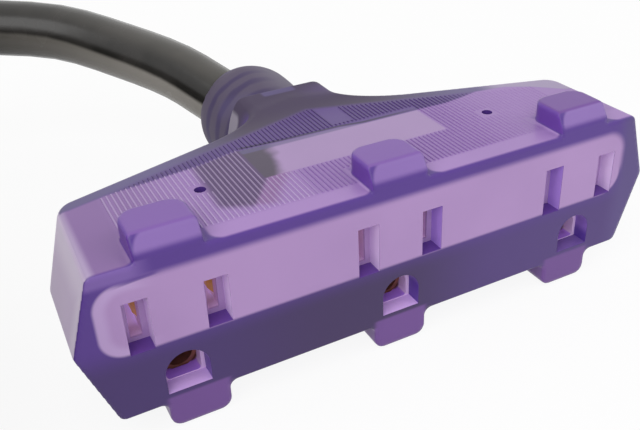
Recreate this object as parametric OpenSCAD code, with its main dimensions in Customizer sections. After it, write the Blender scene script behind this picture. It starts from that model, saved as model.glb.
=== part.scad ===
// Heavy-duty extension cord: a three-outlet tap, its round cord laid in a coil, and a grounded plug.
// The tap's length runs along X, its outlets face -Y, the cord leaves towards +Y and +Z is up.

/* [Outlets] */
// Distance between two outlets
outlet_pitch = 39.7; // [38:0.1:44]
// Distance between the line and neutral slots of one outlet
slot_spacing = 12.7; // [12.5:0.1:12.9]
// Drop from the slots' centre line to the ground pin
ground_drop = 11.9; // [11.7:0.1:12.1]
// Width of the windows in the overmould in front of the slots
window_w = 4; // [3:0.1:4]
// Height of the window in front of a neutral slot
neutral_window_h = 9.6; // [8.8:0.1:10]
// Height of the window in front of a line slot
line_window_h = 8.9; // [7.8:0.1:9.4]
// Width of the slots in the contact carrier
slot_w = 1.95; // [1.7:0.05:2.2]
// Height of a neutral slot
neutral_slot_h = 8.1; // [8:0.1:8.4]
// Height of a line slot
line_slot_h = 7.1; // [6.8:0.1:7.4]
// Half width of the D-shaped ground opening in the overmould
ground_hole_r = 3.7; // [3.4:0.1:4]
// Half width of the D-shaped ground opening in the contact carrier
carrier_hole_r = 3.05; // [2.8:0.05:3.2]

/* [Tap] */
// Length of the overmould past the middle of an end outlet, at its parting plane
end_reach = 16.5; // [16.3:0.1:20]
// Height of the parting plane above the floor
axis_h = 20; // [19.6:0.1:21]
// Rise of the overmould's top face above the parting plane
top_rise = 13.3; // [13:0.1:15]
// Drop of the overmould's bottom face below the parting plane
bottom_drop = 14.5; // [14.3:0.1:15.5]
// Rise of the slots' centre line above the parting plane
blade_rise = 2.3; // [2:0.1:2.5]
// Lean of the end walls above the parting plane
top_lean = 17; // [14:0.5:18]
// Lean of the end walls below the parting plane
bottom_lean = 18.5; // [15:0.5:19]
// Rounding of the top and bottom edges
edge_r = 1; // [0.6:0.1:1.4]
// Taper of each end wall from front to back
end_taper = 0.7; // [0.4:0.1:1]
// Rounding of the two rear corners
rear_corner_r = 8; // [7:0.5:8.5]
// Angle of the rear shoulders from the tap's length
shoulder_angle = 17.4; // [17:0.1:18]
// Depth at which the two shoulders would meet behind the front face
shoulder_depth = 43.6; // [43.4:0.1:45]
// Half width of the neck
neck_half_w = 12.6; // [12.2:0.1:14]
// Half width of the flat on top of the neck
neck_flat = 5; // [4:0.5:6]
// Depth of the neck's rear face behind the front face
neck_depth = 50; // [49.5:0.5:52]
// Rounding between the shoulders and the neck
neck_fillet_r = 4.8; // [4:0.2:5.4]
// Thickness of the overmould in front of the contact carrier
front_wall = 3.3; // [3:0.1:3.6]

/* [Lobes] */
// Half width of the lobe above each outlet
top_lobe_half_w = 5.4; // [5:0.1:6.5]
// Height of the lobe above each outlet over the top face
top_lobe_h = 4; // [3:0.1:5]
// Depth of the lobe above each outlet
top_lobe_depth = 9; // [8:0.1:14]
// Half width of the lobe below each outlet
bottom_lobe_half_w = 5.3; // [4.8:0.1:5.5]
// How much nearer the middle the two outer lower lobes stand than their outlets
bottom_lobe_shift = 1.3; // [0:0.1:2]
// Depth of the lobe below each outlet
bottom_lobe_depth = 12.4; // [10:0.1:14]

/* [Carrier] */
// Length of the contact carrier past the middle of an end outlet
carrier_reach = 11.7; // [10.9:0.1:12.1]
// Depth of the contact carrier's rear face behind the front face
carrier_depth = 21.5; // [21.2:0.1:22]
// Half height of the contact carrier
carrier_half_h = 6.5; // [6.2:0.1:6.8]
// Thickness of the contact carrier's front wall
carrier_wall = 2.2; // [1.8:0.1:2.5]
// Wall thickness of the cover behind the carrier
cover_wall = 1; // [0.8:0.1:1.2]
// Thickness of the contact metal
metal_t = 0.7; // [0.5:0.05:0.8]
// Bore of the ground contacts
ground_bore_r = 2.5; // [2.45:0.01:2.55]

/* [Cord] */
// Diameter of the cord
cord_d = 13.8; // [13.4:0.1:13.9]
// Diameter of each insulated conductor
lead_d = 4.6; // [4.4:0.1:4.7]
// Diameter of each stranded conductor
strand_d = 2.6; // [2.2:0.1:3]
// Radius of the bell that the cord leaves
bell_r = 11.9; // [11.6:0.1:13]
// Depth of the bell's centre behind the front face
bell_depth = 66.3; // [64:0.1:70]
// Turn of the cord's exit to the left of straight back
exit_turn = 28; // [20:1:30]
// Rise of the cord's exit above level
exit_rise = 17; // [15:0.5:24]
// Distance from the bell's centre to the face that the cord leaves
exit_reach = 9.5; // [9:0.1:9.6]

/* [Coil] */
// Distance between the turns and between the layers of the coil
coil_pitch = 14.3; // [14.3:0.05:15]
// Radius of the outermost turn
coil_r = 100; // [97:0.5:104]
// Turns in each layer
layer_turns = 2.875; // [2.375:0.5:2.875]

/* [Plug] */
// Width of the plug's body
plug_w = 36; // [34:0.5:40]
// Height of the plug's body
plug_h = 28; // [27:0.2:32]
// Length of the plug's body
plug_len = 46; // [44:1:54]
// Length of the plug's ribbed strain relief
relief_len = 32; // [26:1:44]
// Exposed length of the flat blades
blade_len = 17.5; // [16:0.1:18.2]
// Exposed length of the ground pin
pin_len = 20.6; // [18.6:0.1:21]
// Width of the flat blades
blade_w = 6.35; // [6.2:0.05:6.5]
// Thickness of the flat blades
blade_t = 1.5; // [1.4:0.05:1.6]
// Radius of the ground pin
pin_r = 2.4; // [2.35:0.01:2.43]

/* [Hidden] */
$fn = 48;

// Clearances and cuts
pass = 1;            // how far a cut runs past the face that it opens
lay_gap = 0.3;       // running gap of a part that only lies in its place
leaf_room = 0.7;     // room beside a contact leaf for it to open
bundle_gap = 0.16;   // gap between two conductors in the jacket
steps = 6;           // points along each rounded corner
bend_fullness = 1.05; // radius of a wire's bend over the wire's own

// Frame: the tap's box is centred on X and Y and stands on Z = 0
exit_dir = [
    -sin(exit_turn) * cos(exit_rise),
    cos(exit_turn) * cos(exit_rise),
    sin(exit_rise)
];
tap_half_w = outlet_pitch + end_reach;
carrier_half_w = outlet_pitch + carrier_reach;
cord_r = cord_d / 2;
exit_face_r = sqrt(bell_r * bell_r - exit_reach * exit_reach);
bell_far = exit_reach * exit_dir[1] + exit_face_r * sqrt(1 - exit_dir[1] * exit_dir[1]);
front_y = -(bell_depth + bell_far) / 2;
bell_centre = [0, front_y + bell_depth, axis_h];
exit_point = bell_centre + exit_reach * exit_dir;
exit_roll = atan2(exit_dir[2], -exit_dir[0]);   // tilt of the plane that the exit bends in
exit_bend = acos(exit_dir[1]);                  // turn of the cord inside the bell
exit_bend_r = 18;                               // radius of that turn

// Heights over the parting plane
ground_h = blade_rise - ground_drop;
carrier_top = blade_rise + carrier_half_h + 0.5;
carrier_bottom = blade_rise - carrier_half_h + 0.5;
hole_arch_rise = 0.8;       // centre of the overmould's ground arch over the pin's axis
carrier_arch_rise = 0.35;   // centre of the carrier's ground arch over the pin's axis
hole_floor_drop = 2.85;     // flat of the overmould's ground opening below the pin's axis
carrier_floor_drop = 2.7;   // flat of the carrier's ground opening below the pin's axis
hole_corner_r = 0.8;
front_edge_r = 0.7;         // rounding of the top and bottom edges at the front face

// Ground towers of the carrier
contact_wall = 0.7;
ground_tube_r = ground_bore_r + contact_wall;
tower_wall = 0.8;
tower_half_w = carrier_hole_r + 1.55;
tower_bottom = ground_h - ground_tube_r - tower_wall;
ground_slit = 0.9;

// Cover behind the carrier
cover_half_w = carrier_half_w - 1.4;
cover_top = carrier_top;
cover_bottom = -9;
cover_skin = 2;             // thickness of the overmould behind the cover
cover_shoulder = shoulder_depth - (carrier_top * tan(top_lean) + cover_skin) / cos(shoulder_angle);
cover_neck_half_w = cord_r + 2.7;
skirt_half_w = outlet_pitch + ground_tube_r + 1.1;
skirt_bottom = tower_bottom + 0.4;
skirt_depth = carrier_depth + metal_t + cover_wall + lay_gap;

// Contact strips, as heights over the parting plane
strip_edge = 1;             // distance from the slots' centre line to the near edge of a strip
strip_h = 4.7;
ground_strip_h = 5.6;
strip_over = 1.5;           // length of a strip past its last contact
leaf_h = 6;
leaf_depth = front_wall + carrier_wall + 0.6;
leaf_gap = blade_t + 0.1;
crimp_r = strand_d / 2 + 0.6;
crimp_depth = 30;
insulation_depth = crimp_depth + 0.6;
lead_fan = 5.9;             // depth over which the conductors turn in to the jacket
jacket_depth = insulation_depth + lead_fan;
cover_depth = jacket_depth + 1.5;
neutral_crimp = [-8.5, blade_rise + 2.9];
line_crimp = [8.5, blade_rise - 3.5];
ground_crimp = [0, cover_bottom + cover_wall + 0.3 + crimp_r];

// Conductors in the jacket, seen from the tap or from the plug: ground below, the live two above
bundle_r = (lead_d + bundle_gap) / sqrt(3);
left_seat = bundle_r * [-cos(30), sin(30)];
right_seat = bundle_r * [cos(30), sin(30)];
low_seat = bundle_r * [0, -1];
seat_depth = 8;

// Neon lamp and its resistor, between the two live strips
lamp_r = 2.9;
lamp_len = 13;
lamp_x = 20;
lamp_depth = carrier_depth + metal_t + 0.9 + lamp_r;
lamp_height = cover_top - cover_wall - lay_gap - lamp_r;
wire_r = 0.35;
resistor_r = 1.2;
resistor_len = 6.3;
resistor_x = 17;
resistor_depth = carrier_depth + metal_t + 1 + resistor_r;
resistor_height = blade_rise - 2.8;

// Bell and the sleeve inside it
bell_swell = 1.7;           // growth of the bell's radius from the neck to its centre
sleeve_wall = 1.7;
sleeve_start = neck_depth - 3;
sleeve_end = bell_depth - 1;
sleeve_rings = [-11.8, -7, -2.3];   // places of the rings, from the bell's centre
sleeve_ring_w = 1.8;
sleeve_ring_r = cord_r + 3.5;

// Coil: it lies beside the tap, beyond the cord's first bend, and starts at its top layer
coil_x = -179.5;
coil_y = -13;
layers = 4;
coil_sides = 6;
coil_rings = 24;
coil_start_angle = 90;
coil_top_h = cord_r + coil_pitch * (layers - 1);
coil_start = [coil_x + cord_d, coil_y + coil_r, coil_top_h];
coil_short = 2;             // points that the last turn lacks, where the tail leaves it

// Route of the free stretches, in round numbers
run_points = [
    [-20, 61, 30], [-32.5, 74, 33.5], [-52, 83, 36], [-72, 86.5, 39.5], [-92, 87, 43], [-112, 87, 46],
    [-132, 87, 48.5]
];
tail_points = [[-190, -120, 8.5], [-173, -124, 12.3]];
plug_point = [-64, -124.5, plug_h / 2];
tube_sides = 10;
lead_sides = 12;
jacket_sides = 24;

// Plug, measured from its front face
plug_rise = 4;              // slots' centre line over the plug's middle
plug_ground_h = plug_rise - ground_drop;
plug_corner_r = 8;
plug_flange = 5;
core_half_w = plug_w / 2 - 4;
core_half_h = plug_h / 2 - 3;
core_depth = 12;
core_corner_r = 5;
pin_shank_r = pin_r - 0.3;  // ground pin where the core holds it
plug_crimp_len = 8;
plug_crimp_depth = core_depth + plug_crimp_len;
plug_jacket_depth = 28;
plug_total = plug_len + relief_len;
relief_wall = 4.6;          // thickness of the relief at the plug
relief_end_wall = 1.6;      // thickness of the relief at its far end
relief_start_r = cord_r + relief_wall;
relief_end_r = cord_r + relief_end_wall;
relief_groove = 1.3;
relief_grooves = 5;
plug_back_w = 25;
plug_back_h = 24;
plug_back_corner_r = 9;
plug_back_len = 8;          // length of the even stretch at the back of the plug's body
tail_end = plug_point - [plug_total, 0, 0];

// ---- helpers -------------------------------------------------------------------------------

function unit(v) = v / norm(v);

// Points of an arc of radius r that rounds the corner b between a and c
function corner(a, b, c, r) =
    let (
        u = unit(a - b),
        v = unit(c - b),
        half = acos(u * v) / 2,
        centre = b + unit(u + v) * r / sin(half),
        from = unit(b + u * r / tan(half) - centre),
        to = unit(b + v * r / tan(half) - centre),
        sweep = 180 - 2 * half
    )
    [for (k = [0:steps])
        centre + r * (from * sin(sweep * (1 - k / steps)) + to * sin(sweep * k / steps)) / sin(sweep)];

// A closed outline with each corner rounded by its own radius
function rounded(points, radii) =
    let (n = len(points))
    [for (i = [0:n - 1]) each corner(points[(i + n - 1) % n], points[i], points[(i + 1) % n], radii[i])];

function rectangle(w, h) = [[-w / 2, -h / 2], [w / 2, -h / 2], [w / 2, h / 2], [-w / 2, h / 2]];

function rounded_rectangle(w, h, r) = rounded(rectangle(w, h), [r, r, r, r]);

// Faces of a stack of equal rings, closed at both ends
function stack_faces(rings, n) = [
    [for (i = [0:n - 1]) i],
    each [for (k = [0:rings - 2]) for (i = [0:n - 1]) each [
        [k * n + i, (k + 1) * n + i, (k + 1) * n + (i + 1) % n],
        [k * n + i, (k + 1) * n + (i + 1) % n, k * n + (i + 1) % n]
    ]],
    [for (i = [n - 1:-1:0]) (rings - 1) * n + i]
];

// Direction of a route at point i
function heading(route, i) =
    let (last = len(route) - 1)
    i == 0 ? unit(route[1] - route[0])
    : i == last ? unit(route[last] - route[last - 1])
    : unit(unit(route[i] - route[i - 1]) + unit(route[i + 1] - route[i]));

// Ring of a tube about point p, with a corner straight below its centre
function ring(p, dir, r, sides) =
    let (
        side = unit(cross([0, 0, 1], dir)),
        up = cross(dir, side)
    )
    [for (k = [0:sides - 1]) p + r * (side * sin(360 * k / sides) - up * cos(360 * k / sides))];

module tube(route, r, sides) {
    points = [for (i = [0:len(route) - 1]) each ring(route[i], heading(route, i), r, sides)];
    polyhedron(points, stack_faces(len(route), sides), convexity = 10);
}

// A round wire through a list of points, with a slightly fuller ball at each bend
module wire(points, r) {
    for (i = [0:len(points) - 2]) {
        a = points[i];
        b = points[i + 1];
        translate(a) aim(b - a) cylinder(h = norm(b - a), r = r);
        if (i > 0) {
            translate(a) sphere(r * bend_fullness);
        }
    }
}

// Turns the Z axis of what follows to a direction
module aim(dir) {
    rotate([0, acos(dir[2] / norm(dir)), atan2(dir[1], dir[0])]) children();
}

// Frame of the tap: X along its length, Y behind its front face, Z over the parting plane
module in_tap() {
    translate([0, front_y, axis_h]) children();
}

// Frame of the plug: Y behind its front face, which looks along +X. The plug faces the other way
// from an outlet, so its line blade is on the left where the outlet's line slot is on the right.
module in_plug() {
    translate(plug_point) rotate([0, 0, 90]) children();
}

module at_outlets() {
    for (i = [-1:1]) translate([i * outlet_pitch, 0, 0]) children();
}

// Draws a flat shape of the XZ plane from depth y0 to depth y1
module along_y(y0, y1) {
    translate([0, y1, 0]) rotate([90, 0, 0]) linear_extrude(y1 - y0) children();
}

module block(x0, x1, y0, y1, z0, z1) {
    translate([x0, y0, z0]) cube([x1 - x0, y1 - y0, z1 - z0]);
}

module rod_y(x, z, y0, y1, r) {
    translate([x, y0, z]) rotate([-90, 0, 0]) cylinder(h = y1 - y0, r = r);
}

// Round-topped opening with a flat floor
module ground_opening(r, arch, floor_z) {
    translate([0, arch]) circle(r);
    translate([-r, floor_z + hole_corner_r]) square([2 * r, arch - floor_z - hole_corner_r]);
    translate([-r + hole_corner_r, floor_z]) square([2 * (r - hole_corner_r), hole_corner_r * 2]);
    for (s = [-1, 1]) translate([s * (r - hole_corner_r), floor_z + hole_corner_r]) circle(hole_corner_r);
}

// ---- overmould of the tap ------------------------------------------------------------------

// Inset of the end walls and shoulders at height h over or under the parting plane
function lean_inset(lean, h) = h * tan(lean);

// Half width of the neck at height h, for a half height of rise
function neck_at(h, rise) = neck_flat + (neck_half_w - neck_flat) * sqrt(max(0, 1 - pow(h / rise, 2)));

// Outline of the tap seen from above, inset from its widest
function tap_outline(inset, front, neck, back) =
    let (
        slope = tan(shoulder_angle),
        shoulder = shoulder_depth - inset / cos(shoulder_angle),
        end_x = tap_half_w - inset,
        rear_x = end_x - end_taper,
        right = [
            [end_x, front], [rear_x, shoulder - slope * rear_x],
            [neck, shoulder - slope * neck], [neck, neck_depth - back]
        ],
        radii = [1.5, rear_corner_r - inset, neck_fillet_r + inset, 1.2]
    )
    rounded(
        concat(right, [for (i = [3:-1:0]) [-right[i][0], right[i][1]]]),
        concat(radii, [for (i = [3:-1:0]) radii[i]])
    );

// Levels of one half: straight leaning wall, then the rounded edge, which runs on past the flat face
function half_levels(rise, lean) =
    let (
        straight = rise - edge_r,
        inset = lean_inset(lean, straight),
        over = edge_r * (1 + cos(60))
    )
    concat(
        [for (k = [1:3]) [k / 3 * straight, k / 3 * inset, 0]],
        [for (a = [30:30:60])
            [straight + edge_r * sin(a), inset + edge_r * (1 - cos(a)), front_edge_r * (1 - cos(a))]],
        [[rise + edge_r * (1 - sin(60)), inset + over, front_edge_r * over / edge_r]]
    );

function level_ring(level, rise, sign) = [
    for (p = tap_outline(level[1], level[2], neck_at(level[0], rise), level[2])) [p[0], p[1], sign * level[0]]
];

module tap_body() {
    up = half_levels(top_rise, top_lean);
    down = half_levels(bottom_drop, bottom_lean);
    rings = concat(
        [for (i = [len(down) - 1:-1:0]) level_ring(down[i], bottom_drop, -1)],
        [level_ring([0, 0, 0], top_rise, 1)],
        [for (level = up) level_ring(level, top_rise, 1)]
    );
    n = len(rings[0]);
    intersection() {
        polyhedron([for (r = rings) each r], stack_faces(len(rings), n), convexity = 10);
        block(-tap_half_w - pass, tap_half_w + pass, -pass, neck_depth + pass, -bottom_drop, top_rise);
    }
}

lobe_fillet = 1.2;
lobe_corner_r = 1.6;
lobe_root = 3;              // how deep a lobe's root lies in the body
foot_sink = 0.08;           // depth of a fillet's foot in the body, so that it breaks through cleanly

// Front view of a lobe of height h, rising from the line z = 0, with fillets at its foot
function lobe_face(half_w, h, corner_r) =
    let (
        foot = half_w + lobe_fillet,
        right = concat(
            [[foot, -lobe_root]],
            [for (a = [0:15:90]) [foot - lobe_fillet * sin(a), lobe_fillet * (1 - cos(a)) - foot_sink]],
            [for (a = [0:15:90]) [half_w - corner_r * (1 - cos(a)), h - corner_r * (1 - sin(a))]]
        ),
        n = len(right)
    )
    concat(right, [for (i = [n - 1:-1:0]) [-right[i][0], right[i][1]]]);

// Side view of a lobe above an outlet: its front edge leans back at the top
module top_lobe() {
    nose_h = top_lobe_h - 2.7;
    nose_back = 1.9;
    intersection() {
        along_y(0, top_lobe_depth) polygon(lobe_face(top_lobe_half_w, top_lobe_h, lobe_corner_r));
        rotate([90, 0, 90]) linear_extrude(4 * top_lobe_half_w, center = true) polygon([
            [0, -lobe_root], [top_lobe_depth, -lobe_root], [top_lobe_depth, top_lobe_h - 1],
            [top_lobe_depth - 1, top_lobe_h - 0.2], [nose_back, top_lobe_h], [0, nose_h]
        ]);
        translate([0, 0, -lobe_root]) linear_extrude(lobe_root + top_lobe_h) polygon(rounded(
            [
                [-top_lobe_half_w - lobe_fillet, -lobe_root], [top_lobe_half_w + lobe_fillet, -lobe_root],
                [top_lobe_half_w + lobe_fillet, top_lobe_depth], [-top_lobe_half_w - lobe_fillet, top_lobe_depth]
            ],
            [1, 1, 4, 4]
        ));
    }
}

module bottom_lobes() {
    for (i = [-1:1]) translate([i * (outlet_pitch - bottom_lobe_shift), 0, 0])
        along_y(0, bottom_lobe_depth) mirror([0, 1])
            polygon(lobe_face(bottom_lobe_half_w, axis_h - bottom_drop, 2));
}

// The bell behind the neck: it swells to a ball, which is cut square to the cord's exit
module bell() {
    swell = bell_depth - neck_depth;
    start_r = bell_r - bell_swell;
    profile = concat(
        [[0, -neck_depth + lobe_root], [start_r, -neck_depth + lobe_root]],
        [for (k = [0:5]) [bell_r - bell_swell * pow(1 - k / 6, 2), -neck_depth - swell * k / 6]],
        [for (a = [0:6:90]) [bell_r * cos(a), -bell_depth - bell_r * sin(a)]]
    );
    difference() {
        rotate([90, 0, 0]) rotate_extrude() polygon(profile);
        in_exit_plane() rotate([0, 0, exit_bend]) rod_y(0, 0, exit_reach, 2 * bell_r, bell_r);
    }
}

module tap_overmould() {
    color("mediumpurple") in_tap() difference() {
        union() {
            tap_body();
            at_outlets() translate([0, 0, top_rise]) top_lobe();
            translate([0, 0, -bottom_drop]) bottom_lobes();
            bell();
        }
        carrier_blank();
        cover_blank();
        sleeve_blank();
        jacket_blank(cover_depth - pass, pass);
        at_outlets() {
            window(-slot_spacing / 2, neutral_window_h);
            window(slot_spacing / 2, line_window_h);
            along_y(-pass, front_wall + pass)
                ground_opening(ground_hole_r, ground_h + hole_arch_rise, ground_h - hole_floor_drop);
        }
    }
}

module window(x, h) {
    block(x - window_w / 2, x + window_w / 2, -pass, front_wall + pass, blade_rise - h / 2, blade_rise + h / 2);
}

// ---- contact carrier and its cover ---------------------------------------------------------

module carrier_blank() {
    mid = (carrier_top + carrier_bottom) / 2;
    along_y(front_wall, carrier_depth) translate([0, mid])
        polygon(rounded_rectangle(2 * carrier_half_w, carrier_top - carrier_bottom, 4));
    at_outlets() block(-tower_half_w, tower_half_w, front_wall, carrier_depth, tower_bottom, carrier_bottom + 1);
}

module contact_carrier() {
    color("lavender") in_tap() difference() {
        carrier_blank();
        at_outlets() {
            contact_well(-slot_spacing / 2, neutral_slot_h);
            contact_well(slot_spacing / 2, line_slot_h);
            along_y(front_wall - pass, front_wall + carrier_wall + pass)
                ground_opening(carrier_hole_r, ground_h + carrier_arch_rise, ground_h - carrier_floor_drop);
            rod_y(0, ground_h, front_wall + carrier_wall, carrier_depth + pass, ground_tube_r);
        }
    }
}

// A slot in the front wall with the well of its contact behind
module contact_well(x, slot_h) {
    well_half_w = leaf_gap / 2 + metal_t + leaf_room;
    well_half_h = leaf_h / 2 + lay_gap;
    block(x - slot_w / 2, x + slot_w / 2, front_wall - pass, front_wall + carrier_wall + pass,
        blade_rise - slot_h / 2, blade_rise + slot_h / 2);
    block(x - well_half_w, x + well_half_w, front_wall + carrier_wall, carrier_depth + pass,
        blade_rise - well_half_h, blade_rise + well_half_h);
    block(x - slot_w / 2, x + slot_w / 2, front_wall + carrier_wall, carrier_depth - 2,
        blade_rise - slot_h / 2, blade_rise + slot_h / 2);
}

// Outline of the cover from above: y is the depth and inset moves it inwards
function cover_outline(inset) =
    let (
        shoulder = cover_shoulder - inset,
        slope = tan(shoulder_angle),
        half_w = cover_half_w - inset,
        neck = cover_neck_half_w - inset,
        right = [
            [half_w, carrier_depth], [half_w, shoulder - slope * half_w],
            [neck + 4, shoulder - slope * (neck + 4)], [neck, cover_depth - 1.5 - inset / 2]
        ]
    )
    concat(right, [for (i = [3:-1:0]) [-right[i][0], right[i][1]]]);

module cover_blank() {
    translate([0, 0, cover_bottom]) linear_extrude(cover_top - cover_bottom) polygon(cover_outline(0));
    block(-cover_neck_half_w, cover_neck_half_w, cover_depth - 4, cover_depth, cover_bottom, cover_top);
    block(-skirt_half_w, skirt_half_w, carrier_depth, skirt_depth, skirt_bottom, cover_bottom + 1);
}

module carrier_cover() {
    inner_bottom = cover_bottom + cover_wall;
    color("plum") in_tap() difference() {
        cover_blank();
        difference() {
            translate([0, 0, inner_bottom]) linear_extrude(cover_top - cover_wall - inner_bottom)
                polygon(cover_outline(cover_wall));
            block(-cover_half_w, cover_half_w, jacket_depth, cover_depth + pass, cover_bottom, cover_top);
        }
        block(-cover_half_w + cover_wall, cover_half_w - cover_wall, carrier_depth - pass,
            carrier_depth + metal_t, inner_bottom, cover_top - cover_wall);
        block(-skirt_half_w + cover_wall, skirt_half_w - cover_wall, carrier_depth - pass,
            skirt_depth - cover_wall, skirt_bottom + 0.8, cover_bottom + 2);
        rod_y(0, 0, jacket_depth - pass, cover_depth + pass, cord_r);
    }
}

// ---- contacts ------------------------------------------------------------------------------

// Two spring leaves that grip a blade, with flared mouths; a tail joins them to the strip at band
module blade_contact(x, band) {
    tail_gap = 1;
    for (s = [-1, 1]) translate([x + s * (leaf_gap + metal_t) / 2, 0, blade_rise]) {
        block(-metal_t / 2, metal_t / 2, leaf_depth + 2, carrier_depth - tail_gap, -leaf_h / 2, leaf_h / 2);
        block(-metal_t / 2, metal_t / 2, carrier_depth - 2, carrier_depth + metal_t, band[0], band[1]);
        translate([0, leaf_depth + 2.1, 0]) rotate([0, 0, s * 16])
            block(-metal_t / 2, metal_t / 2, -2.2, 0.2, -leaf_h / 2, leaf_h / 2);
    }
}

// Strip across the back of the carrier, joining the contacts at x offset from each outlet
module strip(x, z0, z1) {
    reach = outlet_pitch + leaf_gap / 2 + metal_t + strip_over;
    difference() {
        block(x - reach, x + reach, carrier_depth, carrier_depth + metal_t, z0, z1);
        at_outlets() block(x - blade_t / 2 - 0.1, x + blade_t / 2 + 0.1, carrier_depth - pass,
            carrier_depth + metal_t + pass, blade_rise - blade_w / 2, blade_rise + blade_w / 2);
    }
}

// Barrel that grips a conductor behind a strip
module crimp(at) {
    difference() {
        rod_y(at[0], at[1], carrier_depth + metal_t, crimp_depth, crimp_r);
        rod_y(at[0], at[1], carrier_depth + metal_t + 1, crimp_depth + pass, strand_d / 2);
    }
}

module line_bus() {
    z1 = blade_rise - strip_edge;
    color("goldenrod") in_tap() {
        strip(slot_spacing / 2, z1 - strip_h, z1);
        at_outlets() blade_contact(slot_spacing / 2, [-leaf_h / 2, -strip_edge]);
        crimp(line_crimp);
    }
}

module neutral_bus() {
    z0 = blade_rise + strip_edge;
    color("goldenrod") in_tap() {
        strip(-slot_spacing / 2, z0, z0 + strip_h);
        at_outlets() blade_contact(-slot_spacing / 2, [strip_edge, leaf_h / 2]);
        crimp(neutral_crimp);
    }
}

module ground_bus() {
    strip_mid = ground_h;
    tongue_half_w = 2.3;
    color("goldenrod") in_tap() {
        difference() {
            union() {
                block(-outlet_pitch - ground_tube_r, outlet_pitch + ground_tube_r, carrier_depth,
                    carrier_depth + metal_t, strip_mid - ground_strip_h / 2, strip_mid + ground_strip_h / 2);
                at_outlets() rod_y(0, ground_h, front_wall + carrier_wall + lay_gap,
                    carrier_depth + metal_t, ground_tube_r);
                block(-tongue_half_w, tongue_half_w, carrier_depth, carrier_depth + metal_t,
                    strip_mid, ground_crimp[1] + 1);
            }
            at_outlets() {
                rod_y(0, ground_h, front_wall, carrier_depth + metal_t + pass, ground_bore_r);
                block(-ground_slit / 2, ground_slit / 2, front_wall, carrier_depth - 3, ground_h,
                    ground_h + ground_tube_r + pass);
            }
        }
        crimp(ground_crimp);
    }
}

// ---- conductors, lamp and strain relief ----------------------------------------------------

// Conductor from its crimp into its seat in the jacket
module tap_lead(from, seat) {
    bend = jacket_depth - 1;
    rod_y(from[0], from[1], carrier_depth + metal_t + 1, insulation_depth + pass, strand_d / 2);
    tube([
        [from[0], insulation_depth, from[1]], [from[0], insulation_depth + 0.8, from[1]],
        [seat[0], bend, seat[1]], [seat[0], jacket_depth + seat_depth, seat[1]]
    ], lead_d / 2, lead_sides);
}

module line_lead() {
    color("dimgray") in_tap() tap_lead(line_crimp, right_seat);
}

module neutral_lead() {
    color("white") in_tap() tap_lead(neutral_crimp, left_seat);
}

module ground_lead() {
    color("green") in_tap() tap_lead(ground_crimp, low_seat);
}

lamp_join_x = lamp_x - lamp_len / 2 - 0.9;

module neon_lamp() {
    far_x = lamp_x + lamp_len / 2;
    color("orange") in_tap() {
        translate([lamp_x - lamp_len / 2, lamp_depth, lamp_height]) rotate([0, 90, 0])
            cylinder(h = lamp_len - lamp_r, r = lamp_r);
        translate([far_x - lamp_r, lamp_depth, lamp_height]) sphere(lamp_r);
        wire([[lamp_x, lamp_depth, lamp_height], [lamp_join_x + wire_r, lamp_depth, lamp_height]], wire_r);
        wire([
            [lamp_x, lamp_depth, lamp_height], [far_x + 1.4, lamp_depth, lamp_height],
            [far_x + 1.4, carrier_depth + metal_t, lamp_height]
        ], wire_r);
    }
}

module lamp_resistor() {
    near_x = resistor_x - resistor_len / 2;
    far_x = resistor_x + resistor_len / 2;
    color("tan") in_tap() {
        translate([near_x, resistor_depth, resistor_height]) rotate([0, 90, 0])
            cylinder(h = resistor_len, r = resistor_r);
        wire([
            [near_x + 1, resistor_depth, resistor_height], [lamp_join_x, resistor_depth, resistor_height],
            [lamp_join_x, lamp_depth, resistor_height], [lamp_join_x, lamp_depth, lamp_height + wire_r]
        ], wire_r);
        wire([
            [far_x - 1, resistor_depth, resistor_height], [far_x + 1.2, resistor_depth, resistor_height],
            [far_x + 1.2, carrier_depth + metal_t, resistor_height]
        ], wire_r);
    }
}

module sleeve_blank() {
    rod_y(0, 0, sleeve_start, sleeve_end, cord_r + sleeve_wall);
    for (y = sleeve_rings) {
        rod_y(0, 0, bell_depth + y - sleeve_ring_w / 2, bell_depth + y + sleeve_ring_w / 2, sleeve_ring_r);
    }
}

module tap_strain_relief() {
    color("indigo") in_tap() difference() {
        sleeve_blank();
        jacket_blank(sleeve_start - pass, pass);
    }
}

// Frame at the bell's centre in which the cord turns from +Y towards -X
module in_exit_plane() {
    translate([0, bell_depth, 0]) rotate([0, exit_roll, 0]) children();
}

// Point of the plane that the exit bends in, x away from the turn's inner side and y along +Y
function exit_plane(x, y) = [x * cos(exit_roll), bell_depth + y, -x * sin(exit_roll)];

// The cord from a depth inside the neck, round a bend in the bell, to the exit face and a little past it
module jacket_blank(depth, past = 0) {
    reach = exit_reach + past;
    tangent = exit_bend_r * tan(exit_bend / 2);
    tube(concat(
        [[0, depth, 0]],
        [for (k = [0:steps]) let (a = exit_bend * k / steps)
            exit_plane(exit_bend_r * (cos(a) - 1), exit_bend_r * sin(a) - tangent)],
        [exit_plane(-reach * sin(exit_bend), reach * cos(exit_bend))]
    ), cord_r, jacket_sides);
}

module jacket_end() {
    color("black") in_tap() difference() {
        jacket_blank(jacket_depth);
        for (seat = [left_seat, right_seat, low_seat]) {
            rod_y(seat[0], seat[1], jacket_depth - pass, jacket_depth + seat_depth, lead_d / 2);
        }
    }
}

// ---- cord ----------------------------------------------------------------------------------

// Radius and height of the coil's centre line after t turns
function coil_at(t) =
    let (
        layer = min(layers - 1, floor(t / layer_turns)),
        part = t / layer_turns - layer,
        outward = layer % 2,
        r = coil_r - (outward == 1 ? 1 - part : part) * coil_pitch * layer_turns,
        near = round(t / layer_turns),
        off = t - near * layer_turns,
        climbs = near > 0 && near < layers && abs(off) < 0.25,
        climb = climbs ? near - 0.5 + (off * 4 + sin(off * 4 * 90)) / 4 : layer
    )
    [r, coil_top_h - climb * coil_pitch];

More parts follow.
